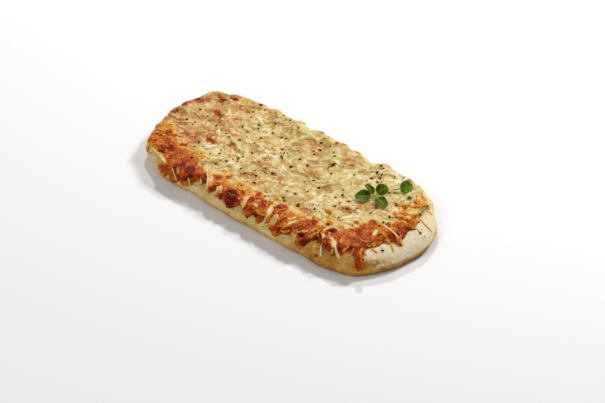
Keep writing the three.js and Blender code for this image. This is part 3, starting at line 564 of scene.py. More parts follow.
def cheese_edge(along):
    """Where the cheese ends: as the photo shows it, and elsewhere a little in from the bare rim."""
    first, last = CHEESE_EDGE[0][0], CHEESE_EDGE[-1][0]
    onwards = np.where(along < last - ROUND, along + ROUND, along)
    steps = (-EDGE_ROUNDING, 0, EDGE_ROUNDING)
    shown = sum(np.interp(onwards + step, *zip(*CHEESE_EDGE)) for step in steps) / len(steps)
    share = smooth((onwards - first) / EDGE_JOIN) * smooth((last - onwards) / EDGE_JOIN)
    ragged = (0.7 * fray(along, 2.1, 3) + 0.4 * fray(along, 1.1, 4)) * (0.4 + 0.6 * share)
    return shown * share + (plain_edge(along) + EDGE_GAP) * (1 - share) + ragged


def sauce_edge(along):
    """Where the sauce ends: just under the cheese's edge, and never lower than the bare rim."""
    return np.maximum(plain_edge(along) + 1.2 + waves(along, SAUCE_WAVES), cheese_edge(along) + 0.9)


def over_sauce(along, reach):
    """How far the cheese's underside is off the bread's skin, beside the sauce and over it."""
    return LAYER_GAP + smooth((reach - sauce_edge(along) + 3) / 2) * (SAUCE_THICK + LAYER_GAP)


def lumps(x, y):
    """Slow rises and dips of the melted cheese."""
    return sum(high * np.sin(across * x + up * y + start) for high, across, up, start in LUMPS)


def seen(points):
    """Where the camera sees points of the food on the plane at SEEN_HEIGHT."""
    share = (SEEN_HEIGHT - CAMERA_PLACE[2]) / (points[:, 2] - CAMERA_PLACE[2])
    return (CAMERA_PLACE + share[:, None] * (points - CAMERA_PLACE))[:, :2].T


def oval_place(x, y):
    """The place round the oval and how far in from its plain line, for places in plan."""
    held = np.clip(x, -HALF_STRAIGHT, HALF_STRAIGHT)
    turn = np.arctan2(y, x - held)
    right = x > HALF_STRAIGHT
    left = x < -HALF_STRAIGHT
    along = np.where(y >= 0, QUARTER + HALF_STRAIGHT - x, ROUND - QUARTER - HALF_STRAIGHT + x)
    along = np.where(right, (turn * END_RADIUS) % ROUND, along)
    along = np.where(left, STRAIGHT + (turn % (2 * math.pi)) * END_RADIUS, along)
    return along, END_RADIUS - np.hypot(x - held, y)


def spots(x, y, places, edge=1):
    """The strongest of the ellipses at each place. The greater the edge, the more sharply they end."""
    total = np.zeros_like(x)
    for at_x, at_y, half_long, half_wide, turn, *strength in places:
        angle = math.radians(turn)
        u = (x - at_x) * math.cos(angle) + (y - at_y) * math.sin(angle)
        v = (y - at_y) * math.cos(angle) - (x - at_x) * math.sin(angle)
        inside = np.exp(-(((u / half_long) ** 2 + (v / half_wide) ** 2) ** edge))
        total = np.maximum(total, (strength[0] if strength else 1) * inside)
    return total


# The relief of the melted shreds, kept as heights over the plan

def shred_relief():
    """Heights of curved shreds laid over each other at random and melted together."""
    draw = np.random.default_rng(SEED + 1)
    columns, rows = int(2 * PLAN_HALF[0] / CELL), int(2 * PLAN_HALF[1] / CELL)
    plan = np.zeros((columns, rows))
    for _ in range(MELTED_SHREDS):
        start = draw.uniform([-PLAN_HALF[0], -PLAN_HALF[1]], PLAN_HALF)
        heading = draw.uniform(0, 2 * math.pi)
        bend = draw.uniform(-MELTED_BEND, MELTED_BEND)
        length = draw.uniform(*MELTED_LENGTHS)
        width = draw.uniform(*MELTED_WIDTHS)
        height = draw.uniform(*MELTED_HEIGHTS)
        steps = np.linspace(0, 1, int(length / MELTED_STEP))
        angle = heading + bend * length * (steps - 0.5)
        line = start + np.cumsum(np.stack([np.cos(angle), np.sin(angle)], 1), 0) * length / len(steps)
        low = np.clip(((line.min(0) - width + PLAN_HALF) / CELL).astype(int), 0, (columns - 1, rows - 1))
        high = np.clip(((line.max(0) + width + PLAN_HALF) / CELL).astype(int) + 1, 1, (columns, rows))
        x = (np.arange(low[0], high[0]) + 0.5) * CELL - PLAN_HALF[0]
        y = (np.arange(low[1], high[1]) + 0.5) * CELL - PLAN_HALF[1]
        if not len(x) or not len(y):
            continue
        far = np.full((len(x), len(y)), np.inf)
        for point in line:
            far = np.minimum(far, (x[:, None] - point[0]) ** 2 + (y[None, :] - point[1]) ** 2)
        round_top = np.sqrt(np.maximum(0, 1 - far / width ** 2))
        patch = plan[low[0]:high[0], low[1]:high[1]]
        np.maximum(patch, height * round_top + MELTED_OVER * patch * (round_top > 0), out=patch)
    return plan


def softened(plan, times):
    """The heights after melting: each cell takes its neighbours' mean, again and again."""
    for _ in range(times):
        plan = (2 * plan + np.roll(plan, 1, 0) + np.roll(plan, -1, 0)) / 4
        plan = (2 * plan + np.roll(plan, 1, 1) + np.roll(plan, -1, 1)) / 4
    return plan


def read(plan, x, y):
    """The heights at places in plan."""
    u = np.clip((x + PLAN_HALF[0]) / CELL - 0.5, 0, plan.shape[0] - 1.001)
    v = np.clip((y + PLAN_HALF[1]) / CELL - 0.5, 0, plan.shape[1] - 1.001)
    i, j = u.astype(int), v.astype(int)
    a, b = u - i, v - j
    near = plan[i, j] * (1 - a) + plan[i + 1, j] * a
    far = plan[i, j + 1] * (1 - a) + plan[i + 1, j + 1] * a
    return near * (1 - b) + far * b


def streaks(along, inset):
    """Noise drawn out towards the rim, where the shreds ran down."""
    wavering = along + 1.6 * cloud(along, inset, 5, 71)
    drawn_out = 0.35 * inset
    return 0.65 * cloud(wavering, drawn_out, 2.6, 46) + 0.35 * cloud(wavering, drawn_out, 1.3, 47)


def threads(x, y, size, wide, seed):
    """1 along thin slanting lines, and 0 beside them."""
    return smooth(1 - np.abs(cloud(x + y, 0.3 * (x - y), size, seed)) / wide)


def brownness(x, y):
    """How browned the cheese is at places seen: 0 pale, 0.3 golden, 0.5 orange, 0.7 russet, 1 dark."""
    torn_x, torn_y = strayed(x, y, 1.3, 5, 21)
    along, inset = oval_place(torn_x, torn_y)
    line = np.interp(along, *zip(*BROWN_LINE))
    level = np.interp(along, *zip(*BROWN_LEVEL))
    ring = smooth((line - inset + 1.5 + RING_TORN * clouds(x, y, 6, 23)) / RING_FADE) * (line > 1)
    lighter = smooth((inset - line + 9 + RING_TORN * clouds(x, y, 5, 43)) / 8)
    browned = ring * (level + RING_PATCHES * clouds(x, y, 9, 24, 2) - 0.12 * lighter)
    gold = spots(torn_x, torn_y, GOLD_SPOTS, 2)
    browned = browned * (1 - gold) + GOLDEN * gold * np.maximum(ring, 0.85)
    browned = np.maximum(browned, spots(torn_x, torn_y, BROWN_SPOTS, 1.6))
    speckle = 0.5 * cloud(x, y, 2.4, 25) + 0.5 * cloud(x, y, 1.5, 26)
    mottle = 0.03 + RING_SPECKLES * speckle + RING_STREAKS * streaks(along, inset)
    browned = browned + mottle * smooth(browned / GOLDEN)
    gaps = spots(x + 0.4 * (torn_x - x), y + 0.4 * (torn_y - y), CREAM_GAPS, 2)
    return browned * (1 - 0.95 * gaps)


# Making meshes

def points_of(mesh):
    """The mesh's points."""
    flat = np.empty(3 * len(mesh.vertices))
    mesh.vertices.foreach_get("co", flat)
    return flat.reshape(-1, 3)


def to_row(points):
    """Points of the food in millimetres, as metres in the row's frame."""
    return (np.asarray(points, float) + (MIDDLE_SHIFT, 0, 0)) / 1000


def set_points(mesh, points):
    """Moves the mesh's points."""
    mesh.vertices.foreach_set("co", np.ascontiguousarray(to_row(points), np.float32).ravel())


def mesh_of(work, name):
    """Ends the modelling and gives the mesh."""
    mesh = bpy.data.meshes.new(name)
    work.to_mesh(mesh)
    work.free()
    return mesh


def set_values(mesh, tones):
    """Keeps numbers for each point of the mesh, which its material reads by their names."""
    for name, values in tones.items():
        kept = mesh.attributes.new(name, "FLOAT", "POINT")
        kept.data.foreach_set("value", np.ascontiguousarray(values, np.float32))


def closed(mesh, near=2e-6):
    """Joins seams and poles and turns the faces outwards."""
    work = bmesh.new()
    work.from_mesh(mesh)
    bmesh.ops.remove_doubles(work, verts=work.verts, dist=near)
    bmesh.ops.recalc_face_normals(work, faces=work.faces)
    for face in work.faces:
        face.smooth = True
    work.to_mesh(mesh)
    work.free()


def grid(name, columns, rows):
    """A flat grid and, for each of its points, how far across and how far down it lies from 0 to 1."""
    work = bmesh.new()
    bmesh.ops.create_grid(work, x_segments=columns, y_segments=rows, size=1)
    mesh = mesh_of(work, name)
    flat = points_of(mesh)
    return mesh, (flat[:, 0] + 1) / 2, (flat[:, 1] + 1) / 2


def placed(mesh, finish):
    """Puts a mesh in the scene with its material."""
    made = bpy.data.objects.new(mesh.name, mesh)
    bpy.context.scene.collection.objects.link(made)
    mesh.materials.append(finish)
    return made


def piece(mesh, finish, replaced=None):
    """Puts a mesh in the scene as a piece of the food."""
    made = placed(mesh, finish)
    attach(made, "root")
    if replaced:
        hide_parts(replaced)
    return made


def stepped(down, shares, places):
    """Goes through the places as down goes through the shares."""
    total = places[0] + 0 * down
    for i in range(len(shares) - 1):
        part = np.clip((down - shares[i]) / (shares[i + 1] - shares[i]), 0, 1)
        total = total + (places[i + 1] - places[i]) * part
    return total


def crust_tones(along, reach, points, flat):
    """How toasted and how floury the bare dough is."""
    height = points[:, 2]
    toasted = 0.08 + 0.18 * smooth((8 - height) / 6) + 0.16 * clouds(along, reach, 12, 36)
    for at, wide, all_over, low_down, under, over in TOASTED_PLACES:
        more = all_over + low_down * smooth((under - height) / over)
        toasted = toasted + swell(along, at, wide, 4) * more
    toasted = toasted + 0.12 * smooth((1.4 - height) / 1.4) + 0.2 * (reach < -quarter_arc(FOOT, BULGE))
    toasted = toasted + spots(*seen(points), CRUST_MARKS)
    flour = 0 * along
    for at, wide, thick, under, over in FLOURED_PLACES:
        flour = np.maximum(flour, thick * swell(along, at, wide, 4) * smooth((height - under) / over))
    flour = flour + 0.3 * clouds(along, reach, 5, 37) * flour
    x, y, z = flat.T
    grains = smooth(3 * clouds(x, y + z, 3.4, 38) - 0.2)
    flour = flour + 0.7 * grains * swell(along, 604, 24, 4) * smooth((reach + 1) / 4)
    return {"toasted": toasted, "floury": np.clip(flour, 0, 1) * (reach > -2)}


def bread(finish):
    """The baked dough: flat underneath, rounded at the foot and the rim, with a bed for what lies on it."""
    mesh, across, down = grid("baked_crust", *CRUST_GRID)
    along = across * ROUND % ROUND
    foot = quarter_arc(FOOT, BULGE)
    rim = rim_reach(along)
    reach = stepped(
        down,
        [0, 0.1, 0.24, 0.62, 0.84, 1],
        [-foot - half_width(along) + FOOT, -foot, 0, rim, rim + BED_SLOPE, spine_reach(along)],
    )
    flat = skin(along, reach)
    x, y, z = flat.T
    shape = DOUGH_SWELL * clouds(along, reach, 9, 31) + DOUGH_LUMP * clouds(x + z, y + z, 3, 32)
    from_crease = (reach - CREASE_AT - CREASE_WANDERS * fray(along, 40, 33)) / CREASE_WIDE
    creases = -CREASE_DEEP * np.exp(-from_crease ** 2) * smooth(3 * fray(along, 26, 34))
    blisters = DOUGH_BLISTER * smooth(4 * cloud(along, reach, 4.5, 35) - 2.1) * smooth((reach - 4) / 4)
    open_side = smooth((reach + foot) / 4)
    points = skin(along, reach, open_side * (shape + creases + blisters))
    set_points(mesh, points)
    set_values(mesh, crust_tones(along, reach, points, flat))
    closed(mesh)
    return piece(mesh, finish, "crust")


def sauce(finish):
    """The tomato sauce, which shows along the edge of the cheese."""
    mesh, across, down = grid("baked_sauce", *SAUCE_GRID)
    along = across * ROUND % ROUND
    edge, spine = sauce_edge(along), spine_reach(along)
    reach = stepped(down, [0, 0.2, 0.25, 0.3, 0.5, 1], [spine, edge + 1, edge, edge + 0.5, edge + 5, spine])
    over = stepped(down, [0, 0.25, 0.3, 0.45, 1], [-0.2, -0.2, 0.9, SAUCE_THICK, SAUCE_THICK])
    points = skin(along, reach, LAYER_GAP + over)
    x, y = points[:, 0], points[:, 1]
    bumps = 0.25 * clouds(x, y, 2.4, 41) * smooth((down - 0.25) / 0.05)
    points = skin(along, reach, LAYER_GAP + over + bumps)
    set_points(mesh, points)
    closed(mesh)
    return piece(mesh, finish, "tomato_sauce")


def cheese_lift(along, reach, relief):
    """How high the cheese stands over the bread's skin, and how high its curds and its bubbles are."""
    inwards = reach - cheese_edge(along)
    full = CHEESE_LIP + (CHEESE_THICK - CHEESE_LIP) * smooth(inwards / CHEESE_FULL_OVER + 0.25)
    inner = smooth(inwards / CHEESE_INNER_OVER)
    flat = skin(along, reach, over_sauce(along, reach) + full)
    x, y = flat[:, 0], flat[:, 1]
    crisp = smooth(brownness(*seen(flat)) / 0.35)
    around, beside = x + 0.9 * cloud(x, y, 3, 61), y + 0.9 * cloud(x, y, 3, 62)
    curds = np.hypot(cloud(around, beside, 4.6, 63), 0.2)
    curds = curds + 0.6 * np.hypot(cloud(around, beside, 2.5, 64), 0.2) - 0.65
    blisters = np.abs(cloud(around, beside, 2.6, 66)) + 0.8 * np.abs(cloud(around, beside, 1.5, 67))
    bubbly = blisters + 0.5 * cloud(x, y, 0.9, 68) - 0.6
    melted = read(relief, x, y) - 0.4
    runs = CRISP_RUNS * streaks(along, reach) * smooth((24 - reach) / 12)
    sunk = SUNK_DEEP * inner * spots(*seen(flat), [spot for spot in SAUCE_AND_SHADOW_SPOTS if spot[5] > SUNK_FROM])
    fine = (PALE_SHREDS * melted + PALE_CURDS * curds) * (1 - crisp)
    fine = fine + (CRISP_BUBBLES * bubbly + CRISP_SHREDS * melted + runs) * crisp - sunk
    drips = DRIPS * fray(along, 2.2, 51) * crisp * (1 - inner)
    body = full + lumps(x, y) * inner + (fine + drips) * smooth(inwards / 2)
    edge_round = np.sqrt(np.clip(1 - (1 - np.clip(inwards / CHEESE_ROUND, 0, 1)) ** 2, 0, 1))
    return over_sauce(along, reach) + body * edge_round, 0.5 * melted + 0.6 * curds, bubbly


def cheese_tones(x, y, melted, bubbly):
    """How browned, how see-through and tan, how pale and how sauce-stained the cheese is at places seen.

    The tan and the sauce stain carry painted shadows under the leaves, and the pale carries painted
    highlights.
    """
    torn_x, torn_y = strayed(x, y, 1.5, 5, 27)
    browned = brownness(x, y)
    hollow = smooth((0.12 - melted) / 0.3)
    # Pale cheese and painted highlights.
    pale_and_highlight = spots(torn_x, torn_y, PALE_AND_HIGHLIGHT_SPOTS)

    # Clear and tan in the hollows and in painted shadows under the leaves, pale on the curds, along thin
    # curls and in painted highlights
    clear = spots(torn_x, torn_y, TAN_HOLLOWS_AND_LEAF_SHADOWS) * (0.6 + 0.4 * hollow) + 0.4 * hollow
    clear = clear + 0.3 * clouds(x, y, 9, 29)
    pale = pale_and_highlight * (0.75 + 0.5 * clouds(x, y, 3, 48)) + 0.55 * smooth((melted - 0.05) / 0.4) - 0.4 * clear
    pale = pale + 0.4 * threads(torn_x, torn_y, 2.2, 0.22, 81) * smooth(3 * clouds(x, y, 7, 82) + 0.4)

    # Clear too round each herb flake and between the curls
    steeped = [(at_x, at_y, 0.7 + 0.6 * size, 0.7 + 0.6 * size, 0) for at_x, at_y, size in HERBS]
    clear = np.maximum(clear, 0.75 * spots(x, y, steeped))
    clear = clear + 0.3 * threads(torn_x, torn_y, 2.6, 0.16, 83) * smooth(3 * clouds(x, y, 8, 84))

    # Stained by the sauce, in spots and all over the left end, with one painted shadow spot under the sprig
    broken = 0.35 * clouds(x, y, 3, 30) + 0.25 * cloud(x, y, 1.3, 45)
    saucy = spots(torn_x, torn_y, SAUCE_AND_SHADOW_SPOTS, 1.3)
    saucy = saucy * (0.75 + 0.25 * hollow) + 0.8 * broken * smooth(saucy / 0.3)
    left = smooth((REDDER_FROM - x) / REDDER_OVER)
    stained = smooth(2.6 * clouds(x, y, 10, 44) + 0.35 + broken)
    saucy = np.maximum(saucy, left * (0.34 + 0.3 * hollow) * stained * (1 - pale_and_highlight))
    saucy = np.maximum(saucy, left * (0.24 + 0.14 * clouds(x, y, 7, 49)))
    return {
        "browned": browned - 0.07 * smooth(bubbly / 0.4) * smooth(browned / GOLDEN),
        "clear": np.clip(clear, 0, 1), "pale": np.clip(pale, 0, 1), "saucy": np.clip(saucy, 0, 1),
    }


def cheese(finish):
    """The melted grated cheese: a sheet with a rounded, ragged edge that hangs over the rim in tongues."""
    mesh, across, down = grid("melted_cheese", *CHEESE_GRID)
    along = across * ROUND % ROUND
    edge, spine = cheese_edge(along), spine_reach(along)
    top = down > TUCKED
    inwards = np.clip((down - TUCKED) / (1 - TUCKED), 0, 1) ** CLOSER
    under = np.clip(1 - down / TUCKED, 0, 1)
    reach = edge + (spine - edge) * np.where(top, inwards, under)
    relief = softened(shred_relief(), MELTED_SOFT)
    lift, melted, bubbly = cheese_lift(along, reach, relief)
    lift = np.where(top, lift, np.where(under < 0.5, 0.15 * (1 - under), -0.1))
    points = skin(along, reach, lift)
    set_points(mesh, points)
    set_values(mesh, cheese_tones(*seen(points), melted, bubbly))
    closed(mesh)
    return piece(mesh, finish, "cheese")


# Things laid on the surface

def surface_under(pieces):
    """The pieces' skin, to lay things on."""
    corners, faces = [], []
    for one in pieces:
        first = len(corners)
        corners.extend(vertex.co.copy() for vertex in one.data.vertices)
        faces.extend([first + i for i in face.vertices] for face in one.data.polygons)
    return BVHTree.FromPolygons(corners, faces)


def looked_at(skin_tree, x, y):
    """The place on the skin that the camera sees at x, y, and the way the skin faces there."""
    eye = Vector(to_row(CAMERA_PLACE))
    aim = Vector(to_row((x, y, SEEN_HEIGHT)))
    place, facing, _, _ = skin_tree.ray_cast(eye, (aim - eye).normalized())
    return place, facing


def along_curve(points, steps):
    """Evenly stepped places on a smooth curve through the points."""
    points = [Vector(p) for p in points]
    ends = [2 * points[0] - points[1], *points, 2 * points[-1] - points[-2]]
    line = []
    for i in range(steps):
        at = i / (steps - 1) * (len(points) - 1)
        k = min(int(at), len(points) - 2)
        t = at - k
        a, b, c, d = ends[k:k + 4]
        place = 2 * b + (c - a) * t
        place = place + (2 * a - 5 * b + 4 * c - d) * t * t
        place = place + (3 * b - a - 3 * c + d) * t ** 3
        line.append(0.5 * place)
    return line


def strip(work, line, facings, wide, thick, sides=8, blunt=0.15):
    """The points of a closed strip with an oval section along the line, its two ends rounded off."""
    made = bmesh.ops.create_grid(work, x_segments=len(line) - 1, y_segments=sides, size=1)["verts"]
    for corner in made:
        i = round((corner.co.x + 1) / 2 * (len(line) - 1))
        turn = (corner.co.y + 1) * math.pi
        forward = (line[min(i + 1, len(line) - 1)] - line[max(i - 1, 0)]).normalized()
        side = forward.cross(facings[i]).normalized()
        up = side.cross(forward)
        to_end = min(i, len(line) - 1 - i) / (len(line) - 1) / blunt
        swollen = math.sqrt(max(0, 1 - (1 - min(1, to_end)) ** 2))
        across, over = math.cos(turn) * wide / 2 * swollen, math.sin(turn) * thick / 2 * swollen
        corner.co = line[i] + side * across + up * over
    return made


def rim_strands(draw):
    """Thin strands over the browned rim, seen: how wide, and the points that each passes over."""
    for _ in range(RIM_STRANDS):
        start, turn = (part.item() for part in spoke(np.array([draw.uniform(*STRAND_PLACES)])))
        out = END_RADIUS - draw.uniform(*STRAND_INSETS)
        length = draw.uniform(*STRAND_LENGTHS)
        bend = draw.gauss(0, 0.5)
        heading = turn + draw.gauss(0, 0.45)
        x, y = start + out * math.cos(turn), out * math.sin(turn)
        points = []
        for _ in range(4):
            points.append((x, y))
            x, y = x + length / 3 * math.cos(heading), y + length / 3 * math.sin(heading)
            heading += bend
        yield draw.uniform(*STRAND_WIDTHS), points


def shreds(finish, skin_tree):
    """The shreds of cheese that kept their shape, and the browned strands over the rim."""
    work = bmesh.new()
    layer = work.verts.layers.float.new("browned")
    strands = [(None, wide, points) for wide, points in rim_strands(random.Random(SEED + 2))]
    for browned, wide, points in SHREDS + strands:
        line = along_curve([(x, y, 0) for x, y in points], 6 * len(points))
        found = [(*looked_at(skin_tree, p.x, p.y), p) for p in line]
        found = [(place, facing, p) for place, facing, p in found if place]
        if len(found) < 6:
            continue
        laid = [place + facing * SHRED_LIFT for place, facing, _ in found]
        for _ in range(2):
            inner = [(laid[i - 1] + laid[i] + laid[i + 1]) / 3 for i in range(1, len(laid) - 1)]
            laid = [laid[0], *inner, laid[-1]]
        if browned is None:
            under = brownness(*np.array([(p.x, p.y) for _, _, p in found]).T).mean()
            if under > STRAND_LIMIT:
                continue
            browned = np.clip(under - 0.2, *STRAND_TONES)
        facings = [facing for _, facing, _ in found]
        for corner in strip(work, laid, facings, wide / 1000, SHRED_THICK):
            corner[layer] = browned
    mesh = mesh_of(work, "cheese_shreds")
    closed(mesh, 1e-7)
    return piece(mesh, finish)


def herbs(finish, skin_tree):
    """Crumbled dried herb and cracked pepper in uneven clusters, pressed a little into the food."""
    draw = random.Random(SEED + 1)
    work = bmesh.new()
    layer = work.verts.layers.float.new("shade")
    places = [(*looked_at(skin_tree, x, y), size) for x, y, size in HERBS]
    places = [(place, facing, size) for place, facing, size in places if place]
    while len(places) < len(HERBS) + MORE_HERBS:
        x, y, _ = draw.choice(HERBS)
        x, y = x + draw.gauss(0, HERB_STREWN), y + draw.gauss(0, HERB_STREWN)
        place, facing = looked_at(skin_tree, x, y)
        if place and facing.z > 0.3 and place.z > 0.006:
            places.append((place, facing, draw.uniform(*FINE_HERBS)))
    for place, facing, long in places:
        length = long / 2000 * HERB_LONGER
        wide = length * draw.uniform(0.5, 0.85)
        thick = min(HERB_THICKEST, length * draw.uniform(0.25, 0.45))
        lying = facing.to_track_quat("Z", "X").to_matrix().to_4x4()
        tilt = (draw.uniform(-0.4, 0.4), draw.uniform(-0.4, 0.4), draw.uniform(0, 2 * math.pi))
        put = Matrix.Translation(place + facing * thick * 0.5) @ lying @ Euler(tilt).to_matrix().to_4x4()
        put = put @ Matrix.Diagonal((length, wide, thick, 1))
        flake = bmesh.ops.create_icosphere(work, subdivisions=1, radius=1, matrix=Matrix.Identity(4))
        shade = draw.random()
        for corner in flake["verts"]:
            corner.co = put @ (corner.co * draw.uniform(0.68, 1.18))
            corner[layer] = shade
    mesh = mesh_of(work, "dried_herbs")
    closed(mesh, 1e-8)
    return piece(mesh, finish)


def rounded(made):
    """Rounds off a piece's corners."""
    rounding = made.modifiers.new("rounding", "SUBSURF")
    rounding.levels = rounding.render_levels = 1


def blades(name, leaves, replaced, finish):
    """Small round fresh leaves: arched blades with a sunk midrib, side veins and a slightly waved rim."""
    work = bmesh.new()
    share_layer = work.verts.layers.float.new("share")
    across_layer = work.verts.layers.float.new("across")
    for number, (root, tip, face, wide, arch) in enumerate(leaves):
        root, tip, face = Vector(root), Vector(tip), Vector(face).normalized()
        run = (tip - root).normalized()
        side = face.cross(run).normalized()
        up = run.cross(side)
        crown = (root + tip) / 2 + up * 2 * arch
        blade = bmesh.ops.create_grid(work, x_segments=LEAF_GRID[0], y_segments=LEAF_GRID[1], size=1)
        for corner in blade["verts"]:
            share, across = (corner.co.x + 1) / 2, corner.co.y
            middle = root * (1 - share) ** 2 + crown * 2 * share * (1 - share) + tip * share ** 2
            half = wide / 2 * max(0.04, 1 - abs(2 * share ** 0.92 - 1) ** 2.1) ** 0.5
            cup = LEAF_CUP * wide * across ** 2 * math.sin(math.pi * share)
            wave = LEAF_WAVE * math.sin(9 * share + 2 * across + number) * across ** 2
            rib = -LEAF_RIB * math.exp(-((across / 0.09) ** 2)) * (1 - share)
            veins = LEAF_VEIN * math.cos(2 * math.pi * (VEINS * share - VEIN_SLANT * abs(across)))
            veins = veins * min(1, 4 * abs(across)) * (1 - across ** 4)
            corner.co = Vector(to_row(middle + side * across * half + up * (cup + wave + rib + veins)))
            corner[share_layer] = share
            corner[across_layer] = across
    bmesh.ops.recalc_face_normals(work, faces=work.faces)
    for face in work.faces:
        face.smooth = True
    made = piece(mesh_of(work, name), finish, replaced)
    wall = made.modifiers.new("thickness", "SOLIDIFY")
    wall.thickness = LEAF_THICK / 1000
    wall.offset = 0
    rounded(made)


def stalks(name, lines, finish):
    """Thin green stalks with a small swelling where they meet the blades."""
    work = bmesh.new()
    facings = [Vector((0, 0, 1))] * STALK_STEPS
    for points, radius in lines:
        line = [Vector(to_row(p)) for p in along_curve(points, STALK_STEPS)]
        thick = 2 * radius / 1000
        strip(work, line, facings, thick, thick, 10, 0.12)
    mesh = mesh_of(work, name)
    closed(mesh, 1e-7)
    rounded(piece(mesh, finish))


# Finishes

def colour(code):
    """A colour given as on a paint card, as the shader's linear values."""
    parts = [int(code[i:i + 2], 16) / 255 for i in (0, 2, 4)]
    return (*(p / 12.92 if p <= 0.04045 else ((p + 0.055) / 1.055) ** 2.4 for p in parts), 1)


class Shade:
    """A value on its way through a material's nodes. Sums on it add Math nodes."""

    def __init__(self, finish, socket):
        self.finish = finish
        self.socket = socket

    def __add__(self, other):
        return self.finish.maths("ADD", self, other)

    def __radd__(self, other):
        return self.finish.maths("ADD", other, self)

    def __sub__(self, other):
        return self.finish.maths("SUBTRACT", self, other)

    def __rsub__(self, other):
        return self.finish.maths("SUBTRACT", other, self)

    def __mul__(self, other):
        return self.finish.maths("MULTIPLY", self, other)

    def __rmul__(self, other):
        return self.finish.maths("MULTIPLY", other, self)

    def between(self, low, high):
        """0 below low, 1 above high, and a soft step between."""
        ends = {"Value": self, "From Min": low, "From Max": high}
        return self.finish.node("ShaderNodeMapRange", {"interpolation_type": "SMOOTHSTEP"}, ends)


class Finish:
    """A material and the nodes that paint it."""

    def __init__(self, name):
        self.material = bpy.data.materials.new(name)
        self.material.use_nodes = True
        self.tree = self.material.node_tree
        self.shader = self.tree.nodes["Principled BSDF"]
        self.place = self.node("ShaderNodeTexCoord", out="Object")

    def node(self, kind, settings=None, values=None, out=0):
        """Adds a node: its settings first, then the values or links of its sockets."""
        made = self.tree.nodes.new(kind)
        for key, value in (settings or {}).items():
            if key == "stops":
                ramp = made.color_ramp
                while len(ramp.elements) < len(value):
                    ramp.elements.new(1)
                for element, (at, tint) in zip(ramp.elements, value):
                    element.position = at
                    element.color = tint
            else:
                setattr(made, key, value)
        for key, value in (values or {}).items():
            self.feed(made.inputs[key], value)
        return Shade(self, made.outputs[out])

    def feed(self, socket, value):
        """Sets a socket, or links it."""
        if isinstance(value, Shade):
            self.tree.links.new(value.socket, socket)
        else:
            socket.default_value = value

    def maths(self, operation, *parts):
        """A Math node on values or sockets."""
        return self.node("ShaderNodeMath", {"operation": operation}, dict(enumerate(parts)))

    def kept(self, name):
        """A number kept for each point of the mesh."""
        return self.node("ShaderNodeAttribute", {"attribute_name": name}, out="Fac")

    def noise(self, size, detail=3, rough=0.55, bent=0.0):
        """Noise whose patches are about that many millimetres across."""
        values = {"Vector": self.place, "Scale": 1000 / size, "Detail": detail, "Roughness": rough}
        return self.node("ShaderNodeTexNoise", None, {**values, "Distortion": bent})

    def mixed(self, share, first, second):
        """The first colour, going over to the second as share rises."""
        return self.node("ShaderNodeMix", {"data_type": "RGBA"}, {0: share, 6: first, 7: second}, out=2)

    def ramp(self, value, stops):
        """The colours along a ramp."""
        painted = [(at, colour(code)) for at, code in stops]
        return self.node("ShaderNodeValToRGB", {"stops": painted}, {"Fac": value})

    def bumped(self, height, distance):
        """The surface's normal, tilted as if it were raised by that share of the distance in metres."""
        return self.node("ShaderNodeBump", None, {"Height": height, "Distance": distance})

    def done(self, **values):
        """Sets the shader's own sockets and gives the material."""
        for name, value in values.items():
            self.feed(self.shader.inputs[name.replace("_", " ").title().replace("Ior", "IOR")], value)
        return self.material


def cheese_paint(name, shredded=False):
    """Melted cheese: cream with see-through tan hollows, sauce showing through, and glossy browned parts.

    Pale specks painted on the browned parts stand in for sparkling highlights.
    """
    finish = Finish(name)
    browned = finish.kept("browned")
    fine = finish.noise(1.9, 5, 0.68).between(0.3, 0.7)
    soft = finish.noise(5, 3)
    crumbs = finish.noise(1.2, 4, 0.6).between(0.3, 0.7) - 0.5
    threaded = finish.noise(2.4, 3, 0.6, 1.6).between(0.36, 0.64)
    toasted = browned + ((fine - 0.5) * 0.22 + crumbs * 0.16) * browned.between(0.04, 0.4)
    tones = SHREDDED_TONES if shredded else MELTED_TONES
    cream = finish.ramp(soft * 0.66 + fine * 0.12 + threaded * 0.22, list(zip((0.25, 0.5, 0.75), tones)))
    if not shredded:
        # Tan where the cheese melted see-through, and in painted shadows under the leaves.
        cream = finish.mixed(finish.kept("clear").between(0.1, 1.05), cream, colour("A97825"))
        # Paler where the cheese is pale and where highlights are painted.
        cream = finish.mixed(finish.kept("pale").between(0.15, 1.1), cream, colour("F8ECC6"))
        # The sauce stain also carries one painted shadow under the sprig.
        saucy = finish.kept("saucy") + (fine - 0.5) * 0.34 + crumbs * 0.2
        for low, high, stain in ((0.05, 0.45, "C08A44"), (0.35, 0.75, "AA571A"), (0.6, 0.95, "862C04")):
            cream = finish.mixed(saucy.between(low, high), cream, colour(stain))
    base = finish.mixed(browned.between(0.03, 0.16), cream, finish.ramp(toasted, BROWNING))
    # Painted highlights: pale specks mixed into the browned parts' colour.
    painted_glints = finish.noise(1.5, 2, 0.5).between(0.65, 0.73) * browned.between(0.2, 0.36)
    base = finish.mixed(painted_glints * 0.55, base, colour("F2D2A4"))
    relief = finish.noise(1.8, 3, 0.5) * (0.12 + browned.between(0.1, 0.5) * 1.4)
    rough = 0.36 - browned.between(0.05, 0.3) * 0.16 + (soft - 0.5) * 0.3
    return finish.done(
        base_color=base, roughness=rough, normal=finish.bumped(relief, 0.0009), specular_ior_level=0.12,
        specular_tint=(1, 0.62, 0.34, 1), subsurface_weight=0.06, subsurface_radius=(0.004, 0.0022, 0.001),
        subsurface_scale=0.6,
    )


